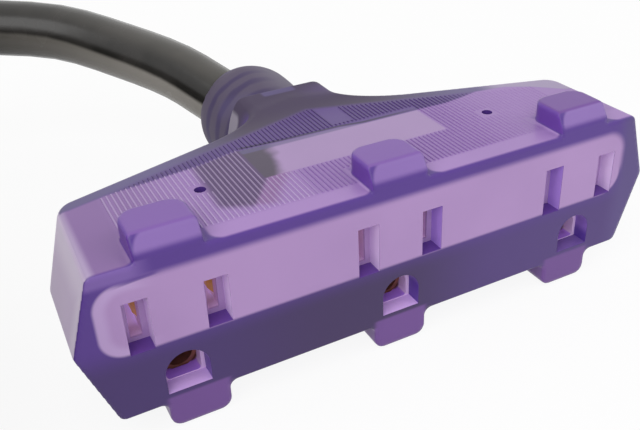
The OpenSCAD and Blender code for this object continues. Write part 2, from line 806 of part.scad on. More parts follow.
function coil_point(t) =
    let (at = coil_at(t), angle = coil_start_angle + 360 * t)
    [coil_x + at[0] * cos(angle), coil_y + at[0] * sin(angle), at[1]];

coil_turns = layer_turns * layers - coil_short / coil_rings;
coil_last = coil_point(coil_turns);
coil_way = unit(coil_last - coil_point(coil_turns - 0.01));
coil_end = coil_last + cord_d * coil_way;
coil_route = concat(
    [coil_start],
    [for (k = [0:round(coil_turns * coil_rings)]) coil_point(k / coil_rings)],
    [coil_end]
);
run_route = concat([exit_point, exit_point + cord_d * exit_dir], run_points, [coil_start + [cord_d, 0, 0], coil_start]);
tail_route = concat(
    [coil_end, coil_end + cord_d * coil_way], tail_points, [tail_end - [cord_d, 0, 0], tail_end]
);

// Least distance between the surfaces of two turns, from points more than a third of a turn apart
function coil_gap(route) =
    let (n = len(route))
    min([for (i = [0:n - 1]) for (j = [i + 8:1:n - 1]) norm(route[i] - route[j])]) - cord_d;

function route_length(route, i = 0, sum = 0) =
    i >= len(route) - 1 ? sum : route_length(route, i + 1, sum + norm(route[i + 1] - route[i]));

module cord_run() {
    color("black") tube(run_route, cord_r, tube_sides);
}

module cord_coil() {
    color("black") tube(coil_route, cord_r, coil_sides);
    echo("least gap in the coil", coil_gap(coil_route));
    echo("length of the cord", route_length(run_route) + route_length(coil_route) + route_length(tail_route));
}

module cord_tail() {
    color("black") tube(tail_route, cord_r, tube_sides);
}

// ---- plug ----------------------------------------------------------------------------------

module plug_core_blank() {
    along_y(0, core_depth) polygon(rounded_rectangle(2 * core_half_w, 2 * core_half_h, core_corner_r));
}

// Grip, then a ribbed sleeve that narrows to the cord
module plug_overmould() {
    groove_pitch = relief_len / (relief_grooves + 1);
    color("mediumpurple") in_plug() difference() {
        union() {
            along_y(0, plug_flange) polygon(rounded_rectangle(plug_w, plug_h, plug_corner_r));
            hull() {
                along_y(plug_flange - 0.1, plug_flange)
                    polygon(rounded_rectangle(plug_w - 4, plug_h - 3, plug_corner_r - 2));
                along_y(plug_len - plug_back_len, plug_len)
                    polygon(rounded_rectangle(plug_back_w, plug_back_h, plug_back_corner_r));
            }
            translate([0, plug_len, 0]) rotate([-90, 0, 0])
                cylinder(h = relief_len, r1 = relief_start_r, r2 = relief_end_r);
        }
        plug_core_blank();
        rod_y(0, 0, plug_jacket_depth, plug_total + pass, cord_r);
        for (k = [1:relief_grooves]) {
            y = plug_len + groove_pitch * k;
            r = relief_start_r + (relief_end_r - relief_start_r) * k / (relief_grooves + 1);
            difference() {
                rod_y(0, 0, y - relief_groove / 2, y + relief_groove / 2, r + 2);
                rod_y(0, 0, y - relief_groove, y + relief_groove, cord_r + 0.9);
            }
        }
        rod_y(-slot_spacing / 2, plug_rise, core_depth - pass, plug_crimp_depth, crimp_r);
        rod_y(slot_spacing / 2, plug_rise, core_depth - pass, plug_crimp_depth, crimp_r);
        rod_y(0, plug_ground_h, core_depth - pass, plug_crimp_depth, crimp_r);
        plug_wire([-slot_spacing / 2, plug_rise], left_seat);
        plug_wire([slot_spacing / 2, plug_rise], right_seat);
        plug_wire([0, plug_ground_h], low_seat);
    }
}

module plug_core() {
    color("lavender") in_plug() difference() {
        plug_core_blank();
        for (s = [-1, 1]) {
            block(s * slot_spacing / 2 - blade_t / 2, s * slot_spacing / 2 + blade_t / 2, -pass, core_depth + pass,
                plug_rise - blade_w / 2, plug_rise + blade_w / 2);
        }
        rod_y(0, plug_ground_h, -pass, core_depth + pass, pin_shank_r);
    }
}

// Barrel behind a blade or the pin
module plug_crimp(at) {
    difference() {
        rod_y(at[0], at[1], core_depth, plug_crimp_depth, crimp_r);
        rod_y(at[0], at[1], core_depth + 1, plug_crimp_depth + pass, strand_d / 2);
    }
}

// Flat blade with its tip bevelled on both faces
module blade(x) {
    bevel = 1.6;
    translate([x, 0, plug_rise]) {
        linear_extrude(blade_w, center = true) polygon([
            [-blade_t / 2, core_depth], [blade_t / 2, core_depth], [blade_t / 2, -blade_len + bevel],
            [blade_t / 4, -blade_len], [-blade_t / 4, -blade_len], [-blade_t / 2, -blade_len + bevel]
        ]);
    }
    plug_crimp([x, plug_rise]);
}

module line_blade() {
    color("goldenrod") in_plug() blade(-slot_spacing / 2);
}

module neutral_blade() {
    color("goldenrod") in_plug() blade(slot_spacing / 2);
}

module ground_pin() {
    color("goldenrod") in_plug() {
        rod_y(0, plug_ground_h, -pin_len + pin_r, 0, pin_r);
        rod_y(0, plug_ground_h, -pass, core_depth, pin_shank_r);
        translate([0, -pin_len + pin_r, plug_ground_h]) sphere(pin_r);
        plug_crimp([0, plug_ground_h]);
    }
}

module plug_wire(from, seat) {
    tube([
        [from[0], plug_crimp_depth, from[1]], [from[0], plug_crimp_depth + 0.8, from[1]],
        [seat[0], plug_jacket_depth - 1, seat[1]], [seat[0], plug_jacket_depth + seat_depth, seat[1]]
    ], lead_d / 2, lead_sides);
}

module plug_lead(from, seat) {
    rod_y(from[0], from[1], core_depth + 1, plug_crimp_depth + pass, strand_d / 2);
    plug_wire(from, seat);
}

module plug_line_lead() {
    color("dimgray") in_plug() plug_lead([-slot_spacing / 2, plug_rise], left_seat);
}

module plug_neutral_lead() {
    color("white") in_plug() plug_lead([slot_spacing / 2, plug_rise], right_seat);
}

module plug_ground_lead() {
    color("green") in_plug() plug_lead([0, plug_ground_h], low_seat);
}

module plug_jacket_end() {
    color("black") in_plug() difference() {
        rod_y(0, 0, plug_jacket_depth, plug_total, cord_r);
        for (seat = [left_seat, right_seat, low_seat]) {
            rod_y(seat[0], seat[1], plug_jacket_depth - pass, plug_jacket_depth + seat_depth, lead_d / 2);
        }
    }
}

tap_overmould();
contact_carrier();
carrier_cover();
line_bus();
neutral_bus();
ground_bus();
line_lead();
neutral_lead();
ground_lead();
neon_lamp();
lamp_resistor();
tap_strain_relief();
jacket_end();
cord_run();
cord_coil();
cord_tail();
plug_overmould();
plug_core();
line_blade();
neutral_blade();
ground_pin();
plug_line_lead();
plug_neutral_lead();
plug_ground_lead();
plug_jacket_end();
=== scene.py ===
"""A heavy-duty extension cord: a clear purple tap with three outlets, a thick black cord and its plug.

Lengths are in millimetres wherever a name or a docstring doesn't say otherwise, and each mesh is scaled
to metres when it is made. The tap is drawn in its own directions: x along its length, y behind its front
face and z above its parting plane.
"""

import logging
import math
from dataclasses import dataclass, field
from enum import Enum
from types import SimpleNamespace
from typing import Callable, Sequence, TypeAlias

import bpy
import numpy as np
from mathutils import Matrix, Vector


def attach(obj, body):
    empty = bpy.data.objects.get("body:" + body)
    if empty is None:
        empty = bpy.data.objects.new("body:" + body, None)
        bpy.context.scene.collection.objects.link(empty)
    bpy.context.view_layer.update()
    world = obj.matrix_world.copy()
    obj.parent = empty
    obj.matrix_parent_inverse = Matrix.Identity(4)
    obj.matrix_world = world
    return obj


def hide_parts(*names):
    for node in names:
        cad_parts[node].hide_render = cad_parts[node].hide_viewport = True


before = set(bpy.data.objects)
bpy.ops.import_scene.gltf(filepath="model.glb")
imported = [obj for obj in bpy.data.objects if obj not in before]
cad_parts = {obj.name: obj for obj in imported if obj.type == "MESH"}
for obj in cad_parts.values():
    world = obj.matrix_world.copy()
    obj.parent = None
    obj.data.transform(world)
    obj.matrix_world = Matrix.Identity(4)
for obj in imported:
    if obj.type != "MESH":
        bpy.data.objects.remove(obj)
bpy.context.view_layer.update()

LOG = logging.getLogger("extension_cord")
MM = 0.001
ROOT = "root"
FRONT_Y = -39.08
PARTING_Z = 20.0
OUTLET_PITCH = 39.7

Colour: TypeAlias = tuple[float, float, float]
Point: TypeAlias = tuple[float, float, float]
Value: TypeAlias = "Reading | float"
Paint: TypeAlias = "Reading | Colour"
Array: TypeAlias = np.ndarray
Field: TypeAlias = Callable[[Array, Array, Array], Array]
Material: TypeAlias = bpy.types.Material


def srgb(code: str) -> Colour:
    """Turns a display colour into the linear values that a shader takes.

    Args:
        code: Six hexadecimal digits, red first.

    Returns:
        Linear red, green and blue.
    """
    def linear(value: float) -> float:
        """The linear value of one display value from 0 to 1."""
        return value / 12.92 if value <= 0.04045 else ((value + 0.055) / 1.055) ** 2.4

    return tuple(linear(int(code[i:i + 2], 16) / 255) for i in (0, 2, 4))


def palette(**codes: str) -> SimpleNamespace:
    """Names the colours of some display codes."""
    return SimpleNamespace(**{name: srgb(code) for name, code in codes.items()})


HUE = palette(
    panel="b08fc2", panel_rim="bda0d0", top_strip="a986c3", top_ribs="9e7cb9", top_left="8b6aa3",
    left_rim="b8a3c8", label="aa8ebc", smoke="4c4154", shade="3f2c58", blush="7d5080", border="57398c",
    border_left="7c5fa8", strip="45316a", strip_middle="40305a", strip_right="503b78", right_end="584880",
    rear="5c4384", line="35264f", neck="43384f", flank="5a4a72", margin="645a86", patch="a596b6",
    end="c6acd4", end_rim="dccbe6", end_low="b3a6c2", lobe="805ca8", lobe_right="724b98",
    lobe_wall="6d45a4", nose="886aae", foot="704c90", rib_light="d0bce0", rib_deep="5f3f8e",
    window="ead0f8", mauve="b690e4", well="664496", ledge="e6beff", ledge_right="7a5ea8", cheek="4a2f84",
    cheek_left="5c3f9c", cheek_right="8a68bc", bell="574e62", bell_right="6e6878", ring="3b2f58",
    crescent="a29ba8", core="b594c6", slot="ecccf4", shelf="b884f0", hole="74483e", glow="6a5e8e",
    none="000000", jacket="201f1d", jacket_grey="2e2c2a", bloom="b4afa6", paper="f4f4f4",
    paper_fleck="f8f8f8",
)


# Shader maths


def _maths(operation: str, reflected: bool = False) -> Callable[..., "Reading"]:
    """Makes a method that adds a Math node on its reading and what it is given.

    Args:
        operation: The node's operation.
        reflected: Whether the reading comes last, as it does in a reflected operator.

    Returns:
        The method.
    """
    def method(self: "Reading", *others: Value) -> "Reading":
        """Adds the node and gives its result."""
        return self.bench.maths(operation, *((*others, self) if reflected else (self, *others)))

    return method


class Reading:
    """A value or colour socket of a material, on which sums are written as Python expressions."""

    __add__ = __radd__ = _maths("ADD")
    __sub__, __rsub__ = _maths("SUBTRACT"), _maths("SUBTRACT", reflected=True)
    __mul__ = __rmul__ = _maths("MULTIPLY")
    __truediv__, __rtruediv__ = _maths("DIVIDE"), _maths("DIVIDE", reflected=True)
    __abs__, sine, root = _maths("ABSOLUTE"), _maths("SINE"), _maths("SQRT")
    least, most = _maths("MINIMUM"), _maths("MAXIMUM")

    def __init__(self, bench: "Bench", socket: bpy.types.NodeSocket) -> None:
        """Wraps a socket of a bench's node tree."""
        self.bench = bench
        self.socket = socket

    def step(self, start: float, end: float) -> "Reading":
        """Rises smoothly from 0 to 1.

        Args:
            start: Reading at which the step is 0.
            end: Reading at which it is 1; below start, the step falls.

        Returns:
            The smooth step.
        """
        low, high = sorted((start, end))
        node = self.bench.node(
            "ShaderNodeMapRange", {"interpolation_type": "SMOOTHSTEP"},
            {"Value": self, "From Min": low, "From Max": high},
        )
        rise = Reading(self.bench, node.outputs["Result"])
        return 1 - rise if start > end else rise


class Bench:
    """The node tree of a material or world, with one method that adds any node and links its sockets."""

    def __init__(self, owner: Material | bpy.types.World) -> None:
        """Turns on the owner's nodes.

        Args:
            owner: The material or world.
        """
        owner.use_nodes = True
        self.owner = owner
        self.tree = owner.node_tree
        self.shader = self.tree.nodes.get("Principled BSDF")

    @classmethod
    def material(cls, name: str) -> "Bench":
        """The bench of a new material."""
        return cls(bpy.data.materials.new(name))

    def node(self, kind: str, settings: dict | None = None, inputs: dict | None = None) -> bpy.types.Node:
        """Adds a node.

        Args:
            kind: Blender's name of the node's type.
            settings: Attributes, or a ramp's stops, that are set before the sockets.
            inputs: Socket names or numbers with readings, sockets or plain values.

        Returns:
            The new node.
        """
        made = self.tree.nodes.new(kind)
        for name, value in (settings or {}).items():
            if name == "stops":
                self._set_stops(made.color_ramp.elements, value)
            else:
                setattr(made, name, value)
        for name, value in (inputs or {}).items():
            self.feed(made.inputs[name], value)
        return made

    @staticmethod
    def _set_stops(elements: bpy.types.ColorRampElements, stops: Sequence[tuple[float, float]]) -> None:
        """Sets the stops of a ramp.

        Args:
            elements: The ramp's stops.
            stops: Each stop's place and level of grey, from 0 to 1.
        """
        while len(elements) < len(stops):
            elements.new(0.5)
        for element, (place, level) in zip(elements, stops):
            element.position = place
            element.color = (level, level, level, 1.0)

    def feed(self, socket: bpy.types.NodeSocket, value: object) -> None:
        """Links a socket or sets its value.

        Args:
            socket: The socket.
            value: A reading or another socket, or else a plain value.
        """
        if isinstance(value, Reading):
            value = value.socket
        if isinstance(value, bpy.types.NodeSocket):
            self.tree.links.new(value, socket)
        elif socket.type == "RGBA":
            socket.default_value = (*value, 1.0)
        else:
            socket.default_value = value

    def maths(self, operation: str, *values: Value) -> Reading:
        """The result of a new Math node."""
        made = self.node("ShaderNodeMath", {"operation": operation}, dict(enumerate(values)))
        return Reading(self, made.outputs[0])

    def paint(self, base: Paint, *coats: tuple[Paint, Value]) -> Reading:
        """Lays coats over a colour, one after the other.

        Args:
            base: The colour underneath.
            coats: Each coat's colour, and how much of it shows.

        Returns:
            The colour on top.
        """
        for coat, share in coats:
            mix = self.node("ShaderNodeMix", {"data_type": "RGBA"}, {"Factor": share, 6: base, 7: coat})
            base = Reading(self, mix.outputs[2])
        return base

    def place(self) -> tuple[Reading, Reading, Reading]:
        """The surface point in the object's own frame, in millimetres along x, y and z."""
        return tuple(reading / MM for reading in self._along("Object"))

    def facing(self) -> tuple[Reading, Reading, Reading]:
        """The surface's normal in the object's own frame."""
        return self._along("Normal")

    def _along(self, output: str) -> tuple[Reading, Reading, Reading]:
        """One of the texture coordinates along x, y and z."""
        parts = self.node("ShaderNodeSeparateXYZ", inputs={0: self._spot(output)})
        return tuple(Reading(self, out) for out in parts.outputs)

    def _spot(self, output: str) -> bpy.types.NodeSocket:
        """One of the texture coordinates."""
        return self.node("ShaderNodeTexCoord").outputs[output]

    def noise(self, waves: float, detail: float = 2.0) -> Reading:
        """A noise from 0 to 1 over the object's own frame, with so many waves in a metre."""
        inputs = {"Vector": self._spot("Object"), "Scale": waves, "Detail": detail}
        return Reading(self, self.node("ShaderNodeTexNoise", inputs=inputs).outputs[0])

    def profile(self, value: Reading, points: Sequence[tuple[float, float]]) -> Reading:
        """Follows straight lines from point to point.

        Args:
            value: What the points' first numbers are set against.
            points: The points, in rising order.

        Returns:
            The second number, read off the lines.
        """
        low, high = points[0][0], points[-1][0]
        least, most = min(level for _, level in points), max(level for _, level in points)
        stops = [((place - low) / (high - low), (level - least) / (most - least)) for place, level in points]
        made = self.node("ShaderNodeValToRGB", {"stops": stops}, {"Fac": (value - low) / (high - low)})
        return Reading(self, made.outputs["Color"]) * (most - least) + least

    def bump(self, height: Reading, depth_m: float = 0.00001) -> None:
        """Raises the surface by up to a depth in metres where a reading is 1."""
        made = self.node("ShaderNodeBump", inputs={"Height": height, "Distance": depth_m, "Strength": 1.0})
        self.feed(self.shader.inputs["Normal"], made.outputs["Normal"])

    def set(self, **sockets: object) -> Material:
        """Feeds the shader's sockets.

        Args:
            sockets: Values of the sockets, with underscores for the spaces in their names.

        Returns:
            The material.
        """
        for name, value in sockets.items():
            self.feed(self.shader.inputs[name.replace("_", " ")], value)
        return self.owner


# Finishes


def rounded(a: Reading, b: Reading, r: float) -> Reading:
    """Distance to what two painted areas share, with their common corner rounded by radius r."""
    over_a, over_b = (a + r).most(0.0), (b + r).most(0.0)
    return (over_a * over_a + over_b * over_b).root() + a.most(b).least(-r)


def box_mask(u: Reading, v: Reading, half_u: float, half_v: float, corner: float, soft: float) -> Reading:
    """1 inside a rounded rectangle round the origin of u and v, and 0 outside, with a soft edge."""
    return rounded(abs(u) - half_u, abs(v) - half_v, corner).step(soft / 2, -soft / 2)


class Spot:
    """Where a surface point lies on the tap, in readings along the tap's own directions."""

    def __init__(self, bench: Bench) -> None:
        """Takes the readings.

        Args:
            bench: Bench of the material.
        """
        self.bench = bench
        self.x, y, z = bench.place()
        self.depth = y - FRONT_Y
        self.height = z - PARTING_Z
        self.facing = bench.facing()

    @property
    def near(self) -> Reading:
        """Place along the tap from the nearest outlet."""
        return self.bench.maths("WRAP", self.x, OUTLET_PITCH / 2, -OUTLET_PITCH / 2)


@dataclass(frozen=True)
class ClearVinyl:
    """The tap's soft, clear purple plastic, through which the paler core shows.

    A step between two places along x, depth or height, or between two slopes of the surface, is where one
    colour gives way to the next.
    """

    name: str
    ribbed: bool = False
    rear_edge: tuple[tuple[float, float], ...] = (
        (-50.0, 20.5), (-43.7, 22.2), (-35.4, 23.1), (-27.3, 24.1), (-18.7, 26.2), (-10.0, 25.5),
        (1.9, 25.2), (6.7, 24.4), (18.8, 24.2), (24.8, 23.9), (29.0, 24.6), (33.5, 25.5), (40.0, 24.4),
        (44.8, 21.4), (50.0, 16.5),
    )
    shoulder_slope: float = math.tan(math.radians(17.4))
    ring_pitch: float = 4.75

    def material(self) -> Material:
        """Makes the material.

        Returns:
            The material, painted by where a point lies on the tap.
        """
        bench = Bench.material(self.name)
        at = Spot(bench)
        colour = self._ribs(at) if self.ribbed else self._body(at)
        cloud = bench.noise(45.0).step(0.25, 0.75)
        return bench.set(
            Base_Color=bench.paint(colour, (bench.paint(HUE.strip, (colour, 0.9)), 1 - cloud)),
            Roughness=0.33 + at.depth.step(28.0, 40.0) * 0.3,
            Specular_IOR_Level=0.32,
        )

    def _past(self, at: Spot) -> Reading:
        """How far a point lies behind the core's rear edge."""
        return at.depth - at.bench.profile(at.x, self.rear_edge)

    def _top(self, at: Spot) -> Reading:
        """Colours of the top face: the core's pale area, the label's panel and the darker rear.

        Args:
            at: Where the point lies.

        Returns:
            The colour.
        """
        paint, x, depth, past = at.bench.paint, at.x, at.depth, self._past(at)
        lean = (x + 28.6) - (depth - 8.6) * 0.05
        front = (depth - 8.6) + (x + 28.8) * 0.45
        behind = (depth - 6.2) - (x + 23.5) * 1.42
        dark = lean.step(-1.2, 1.0) * front.step(-1.5, 1.5) * behind.step(-1.0, 1.0)
        warm = lean.step(-1.0, 3.0) * front.step(-0.5, 1.5) * (behind + 5.5).step(-2.5, 2.5)
        ragged = x - (depth - 20.0) * 0.26 + (at.bench.noise(180.0) - 0.5) * 4.0
        grip = paint(HUE.top_left, (HUE.top_ribs, x.step(-45.0, -30.0)))
        label = paint(HUE.smoke, (HUE.label, ragged.step(-15.2, -12.6)))
        body = paint(
            HUE.top_strip,
            (grip, depth.step(3.6, 5.0) * x.step(-48.0, -41.0)),
            (HUE.top_left, x.step(-43.0, -45.5)),
            (HUE.left_rim, x.step(-50.2, -51.6)),
            (HUE.blush, warm * 0.55),
            (HUE.shade, dark * 0.82),
            (label, box_mask(x, depth - 19.95, 18.4, 5.9, 0.5, 0.5)),
            (HUE.margin, box_mask(x, depth - 25.4, 18.4, 1.2, 0.5, 0.6) * 0.7),
        )
        grey = paint(HUE.neck, (HUE.margin, abs(x).step(12.0, 34.0)), (HUE.patch, x.step(34.0, 40.0)))
        beyond = depth + abs(x) * self.shoulder_slope - 35.8 + x.step(34.0, 40.0) * 4.0
        trace = abs(past - 0.45).step(0.5, 0.2) * x.step(-19.0, -17.5) * x.step(22.0, 10.0)
        rear = paint(HUE.rear, (grey, beyond.step(-0.8, 1.2)), (HUE.line, trace))
        pale = rounded(5.9 - abs(at.near - 1.0), 0.35 - depth, 2.0).step(0.35, -0.35)
        pale = pale.most(depth.step(8.6, 10.6)) * past.step(0.4, -0.4)
        behind_core = past.step(-0.4, 0.4)
        lobe_foot = paint(HUE.border, (HUE.lobe, depth.step(0.0, 9.0)))
        return paint(lobe_foot, (body, pale.most(behind_core)), (rear, behind_core))

    def _ribs(self, at: Spot) -> Reading:
        """Colours of the ribs: lighter on the left with a painted highlight, darker on the right and darkest
        at the rear.

        Args:
            at: Where the point lies.

        Returns:
            The colour.
        """
        paint, top = at.bench.paint, self._top(at)
        return paint(
            # Painted highlight: the ribs lighter, as their crests catch the light.
            paint(top, (HUE.rib_light, 0.4)),
            (paint(top, (HUE.rib_deep, at.x.step(28.0, 12.0) * 0.3)), at.x.step(-15.0, -11.0)),
            (paint(top, (HUE.line, 0.42)), self._past(at).step(-0.3, 0.3)),
            (HUE.foot, at.height.step(0.0, -2.0)),
        )

    def _front(self, at: Spot) -> Reading:
        """Colours of the front face: the core's pale panel in its dark border.

        Args:
            at: Where the point lies.

        Returns:
            The colour.
        """
        paint, x, height = at.bench.paint, at.x, at.height
        across, up = x + 1.15, height - 4.25
        sharp = box_mask(across, up, 51.05, 6.45, 4.0, 0.7)
        soft = box_mask(across, height - 3.95, 51.3, 6.85, 4.2, 1.7)
        panel = paint(soft, (sharp, height.step(4.0, 1.0).most(x.step(-42.0, -46.0))))
        inner = box_mask(across, up, 49.3, 5.2, 3.2, 1.6).most(x.step(-48.0, -42.0))
        strip = paint(
            HUE.strip, (HUE.strip_middle, x.step(-40.0, -12.0)), (HUE.strip_right, x.step(-2.0, 22.0))
        )
        edge = abs(height - 10.9 - (x + 43.0) * 0.08).step(0.45, 0.1)
        tongue = abs(x).least(abs(abs(x) - 38.4)).step(6.0, 4.6) * height.step(-12.9, -13.6)
        return paint(
            HUE.border,
            (strip, height.step(1.0, -5.5)),
            (HUE.right_end, x.step(47.0, 52.0)),
            (HUE.border_left, x.step(-42.0, -46.5) * height.step(10.4, 11.6)),
            (paint(HUE.panel_rim, (HUE.panel, inner)), panel),
            (HUE.border, edge * x.step(-50.5, -46.0) * x.step(-41.0, -43.0) * 0.7),
            (HUE.foot, tongue),
        )

    def _openings(self, at: Spot) -> tuple[tuple[Reading, Reading], ...]:
        """The coats of the walls of the windows and of the ground openings.

        Args:
            at: Where the point lies.

        Returns:
            The two coats, each with how much of it shows.
        """
        paint, x, height, near = at.bench.paint, at.x, at.height, at.near
        nx, ny, nz = at.facing
        inward = at.depth.step(0.02, 0.1) * ny.step(-0.85, -0.7)
        floor = nz.step(0.5, 0.8)
        last = x.step(20.0, 22.0)
        wall = paint(
            HUE.window, (HUE.mauve, x.step(-2.0, 2.0) * x.step(42.0, 40.0)), (HUE.well, floor)
        )
        shelf = paint(
            HUE.cheek,
            (HUE.cheek_left, nx.step(0.2, -0.2)),
            (HUE.cheek_right, last * height.step(-11.0, -9.0)),
            (paint(HUE.ledge, (HUE.ledge_right, last)), floor),
        )
        return (
            (wall, box_mask(abs(near) - 6.35, height - 2.3, 2.6, 5.2, 0.2, 0.1) * inward),
            (shelf, box_mask(near, height + 8.6, 4.2, 4.8, 0.2, 0.1) * inward),
        )

    def _body(self, at: Spot) -> Reading:
        """Paints the overmould.

        Args:
            at: Where the point lies.

        Returns:
            The colour.
        """
        paint, x, depth, height = at.bench.paint, at.x, at.depth, at.height
        nx, ny, nz = at.facing
        upward = nz.step(0.45, 0.75)
        # The left end face: painted pale as a reflection of the white backdrop, with a paler painted
        # highlight along its front edge and near its top, and darker towards the bottom, most at the lower
        # rear.
        highlight_area = (depth.step(5.0, 1.0) * height.step(-9.0, -3.0)).most(height.step(6.0, 11.0))
        end = paint(
            HUE.end,
            (HUE.end_low, height.step(1.0, -6.0)),
            (HUE.end_rim, highlight_area * 0.8),
            (HUE.right_end, (height + depth * 0.5).step(-8.0, -14.0)),
        )
        nose = rounded(-5.0 - at.near, height - 17.4, 2.6).step(0.3, -0.3) * height.step(14.2, 15.3)
        lobe = paint(
            HUE.lobe,
            (HUE.lobe_right, x.step(15.0, 35.0)),
            (HUE.lobe_wall, nx.step(-0.3, -0.75)),
            (HUE.border, nx.step(0.3, 0.75) * 0.6),
            (paint(HUE.border, (HUE.nose, nose)), ny.step(-0.35, -0.7)),
        )
        lilac = box_mask(x + 0.6, depth - 48.2, 3.6, 1.2, 0.6, 0.8) * upward
        neck = paint(
            HUE.neck, (HUE.flank, x.step(0.0, 10.0) * depth.step(50.0, 44.0)), (HUE.margin, lilac * 0.7)
        )
        # Painted highlight: the light crescent along the neck's left side by the bell.
        gleam = box_mask(depth - 48.0, height - 4.5, 2.8, 6.0, 1.6, 1.2) * x.step(-7.0, -8.5)
        return paint(
            HUE.border,
            (self._top(at), upward),
            (self._front(at), ny.step(-0.5, -0.8) * depth.step(1.2, 0.9)),
            (end, x.step(-46.0, -50.0) * nx.step(-0.5, -0.8) * depth.step(0.2, 0.5)),
            (HUE.right_end, x.step(46.0, 50.0) * nx.step(0.5, 0.8)),
            (lobe, height.step(13.5, 13.9) * depth.step(12.0, 11.0)),
            (HUE.foot, height.step(-14.5, -15.0) * depth.step(14.0, 13.0)),
            *self._openings(at),
            (neck, depth.step(38.0, 46.0)),
            (HUE.crescent, gleam * 0.8),
            (self._bell(at), depth.step(50.0, 50.6)),
        )

    def _bell(self, at: Spot) -> Reading:
        """Colours of the bell, through which the ringed sleeve shows faintly.

        Args:
            at: Where the point lies.

        Returns:
            The colour.
        """
        x, depth, height, noise = at.x, at.depth, at.height, at.bench.noise
        waver = (noise(110.0, 3.0) - 0.5) * 3.2
        rings = ((depth - 53.3 + waver) * (2 * math.pi / self.ring_pitch)).sine()
        lilac = box_mask(x - 0.6, depth - 52.0, 2.6, 1.4, 0.8, 1.0) * height.step(6.0, 9.0)
        # Painted highlight: the same light crescent on the bell's left side, where the neck joins it.
        crescent = box_mask(x + 8.4, depth - 53.1, 3.0, 1.0, 0.9, 1.0) * height.step(1.0, 4.0)
        return at.bench.paint(
            HUE.bell,
            (HUE.bell_right, height.step(4.0, 12.0) * x.step(-2.0, 6.0)),
            (HUE.ring, rings.step(-0.5, 0.9) * depth.step(67.5, 64.0) * x.step(5.0, -4.0) * 0.8),
            (HUE.margin, noise(70.0).step(0.5, 0.75) * 0.4),
            (HUE.rear, lilac * 0.6),
            (HUE.crescent, crescent * 0.85),
        )


@dataclass(frozen=True)
class CorePlastic:
    """The stiffer, paler plastic of the contact carrier, with painted light down in its slots: pale walls
    and a faint glow.
    """

    name: str = "core_plastic"

    def material(self) -> Material:
        """Makes the material.

        Returns:
            The material.
        """
        bench = Bench.material(self.name)
        at = Spot(bench)
        depth, height = at.depth, at.height
        ledge = bench.paint(HUE.slot, (HUE.shelf, at.facing[2].step(0.4, 0.8)))
        # Painted shade: dark deep inside the ground holes, behind the core's front wall.
        ground = bench.paint(ledge, (HUE.hole, depth.step(5.5, 6.2)))
        lit = depth.step(5.0, 8.0) * height.step(-3.6, -3.2) * depth.step(20.0, 14.0)
        # Painted light: the slot walls behind the front wall very pale and glowing faintly low down, for
        # light that reaches them through the clear overmould.
        return bench.set(
            Base_Color=bench.paint(
                HUE.core, (HUE.slot, depth.step(3.4, 3.9)), (ground, height.step(-3.9, -4.5))
            ),
            Roughness=0.4,
            Specular_IOR_Level=0.35,
            Emission_Color=bench.paint(HUE.none, (HUE.glow, lit)),
            Emission_Strength=0.8,
        )


@dataclass(frozen=True)
class CordJacket:
    """The cord's glossy black rubber, faintly mottled; by the tap a painted reflection greys its underside.
    """

    name: str

    def material(self) -> Material:
        """Makes the material.

        Returns:
            The material.
        """
        bench = Bench.material(self.name)
        mottle = bench.noise(120.0)
        x, y, _ = bench.place()
        _, _, nz = bench.facing()
        by_tap = y.step(92.0, 42.0) * x.step(-65.0, -45.0)
        # Painted shade: a band a little above the middle where the coat is left off, so the cord looks
        # darker there.
        dark_band = abs(nz - 0.26).step(0.2, 0.05)
        # Painted reflection of the floor: the underside greyer, most by the tap.
        under = nz.step(0.22, 0.06) * nz.step(-0.95, -0.45) * (by_tap * 0.52 + 0.01)
        # Painted highlight: the top by the tap in the same grey.
        crest = nz.step(0.62, 1.0) * by_tap * 0.12
        bench.bump(bench.noise(1500.0))
        return bench.set(
            Base_Color=bench.paint(
                HUE.jacket, (HUE.jacket_grey, mottle.step(0.3, 0.7)), (HUE.bloom, under.most(crest))
            ),
            Roughness=0.26 + (mottle - 0.5) * 0.1,
            Specular_IOR_Level=0.2,
            Coat_Weight=(1 - dark_band) * nz.step(-0.1, 0.2) * 0.4,
            Coat_Roughness=0.24,
        )


@dataclass(frozen=True)
class Plain:
    """A finish of one colour with a fine grain in its sheen and surface."""

    name: str
    code: str
    roughness: float = 0.42
    metallic: float = 0.0
    glow: float = 0.0

    def material(self) -> Material:
        """Makes the material.

        Returns:
            The material.
        """
        bench = Bench.material(self.name)
        colour = srgb(self.code)
        fleck = bench.noise(900.0)
        bench.bump(fleck)
        return bench.set(
            Base_Color=bench.paint(tuple(0.82 * part for part in colour), (colour, fleck.step(0.3, 0.7))),
            Roughness=self.roughness + (fleck - 0.5) * 0.12,
            Metallic=self.metallic,
            Emission_Color=colour,
            Emission_Strength=self.glow,
        )


Finish: TypeAlias = Plain | CorePlastic | CordJacket


# Solids drawn from distances


def round_both(a: Array, b: Array, r: float | Array) -> Array:
    """Distance to what two shapes share, with their common edge rounded by radius r."""
    over = np.hypot(np.maximum(a + r, 0), np.maximum(b + r, 0))
    return np.minimum(np.maximum(a, b), -r) + over


def round_either(a: Array, b: Array, r: float | Array) -> Array:
    """Distance to two shapes joined with a fillet of radius r."""
    return -round_both(-a, -b, r)


def bar(u: Array, v: Array, half_u: float, half_v: float, corner: float = 0.0) -> Array:
    """Distance to a long bar with a rounded rectangular section.

    Args:
        u: Place across the section, from its middle.
        v: Place up it.
        half_u: Half its width.
        half_v: Half its height.
        corner: Radius of its corners.

    Returns:
        The distance.
    """
    over_u = np.abs(u) - (half_u - corner)
    over_v = np.abs(v) - (half_v - corner)
    outside = np.hypot(np.maximum(over_u, 0), np.maximum(over_v, 0))
    return outside + np.minimum(np.maximum(over_u, over_v), 0) - corner


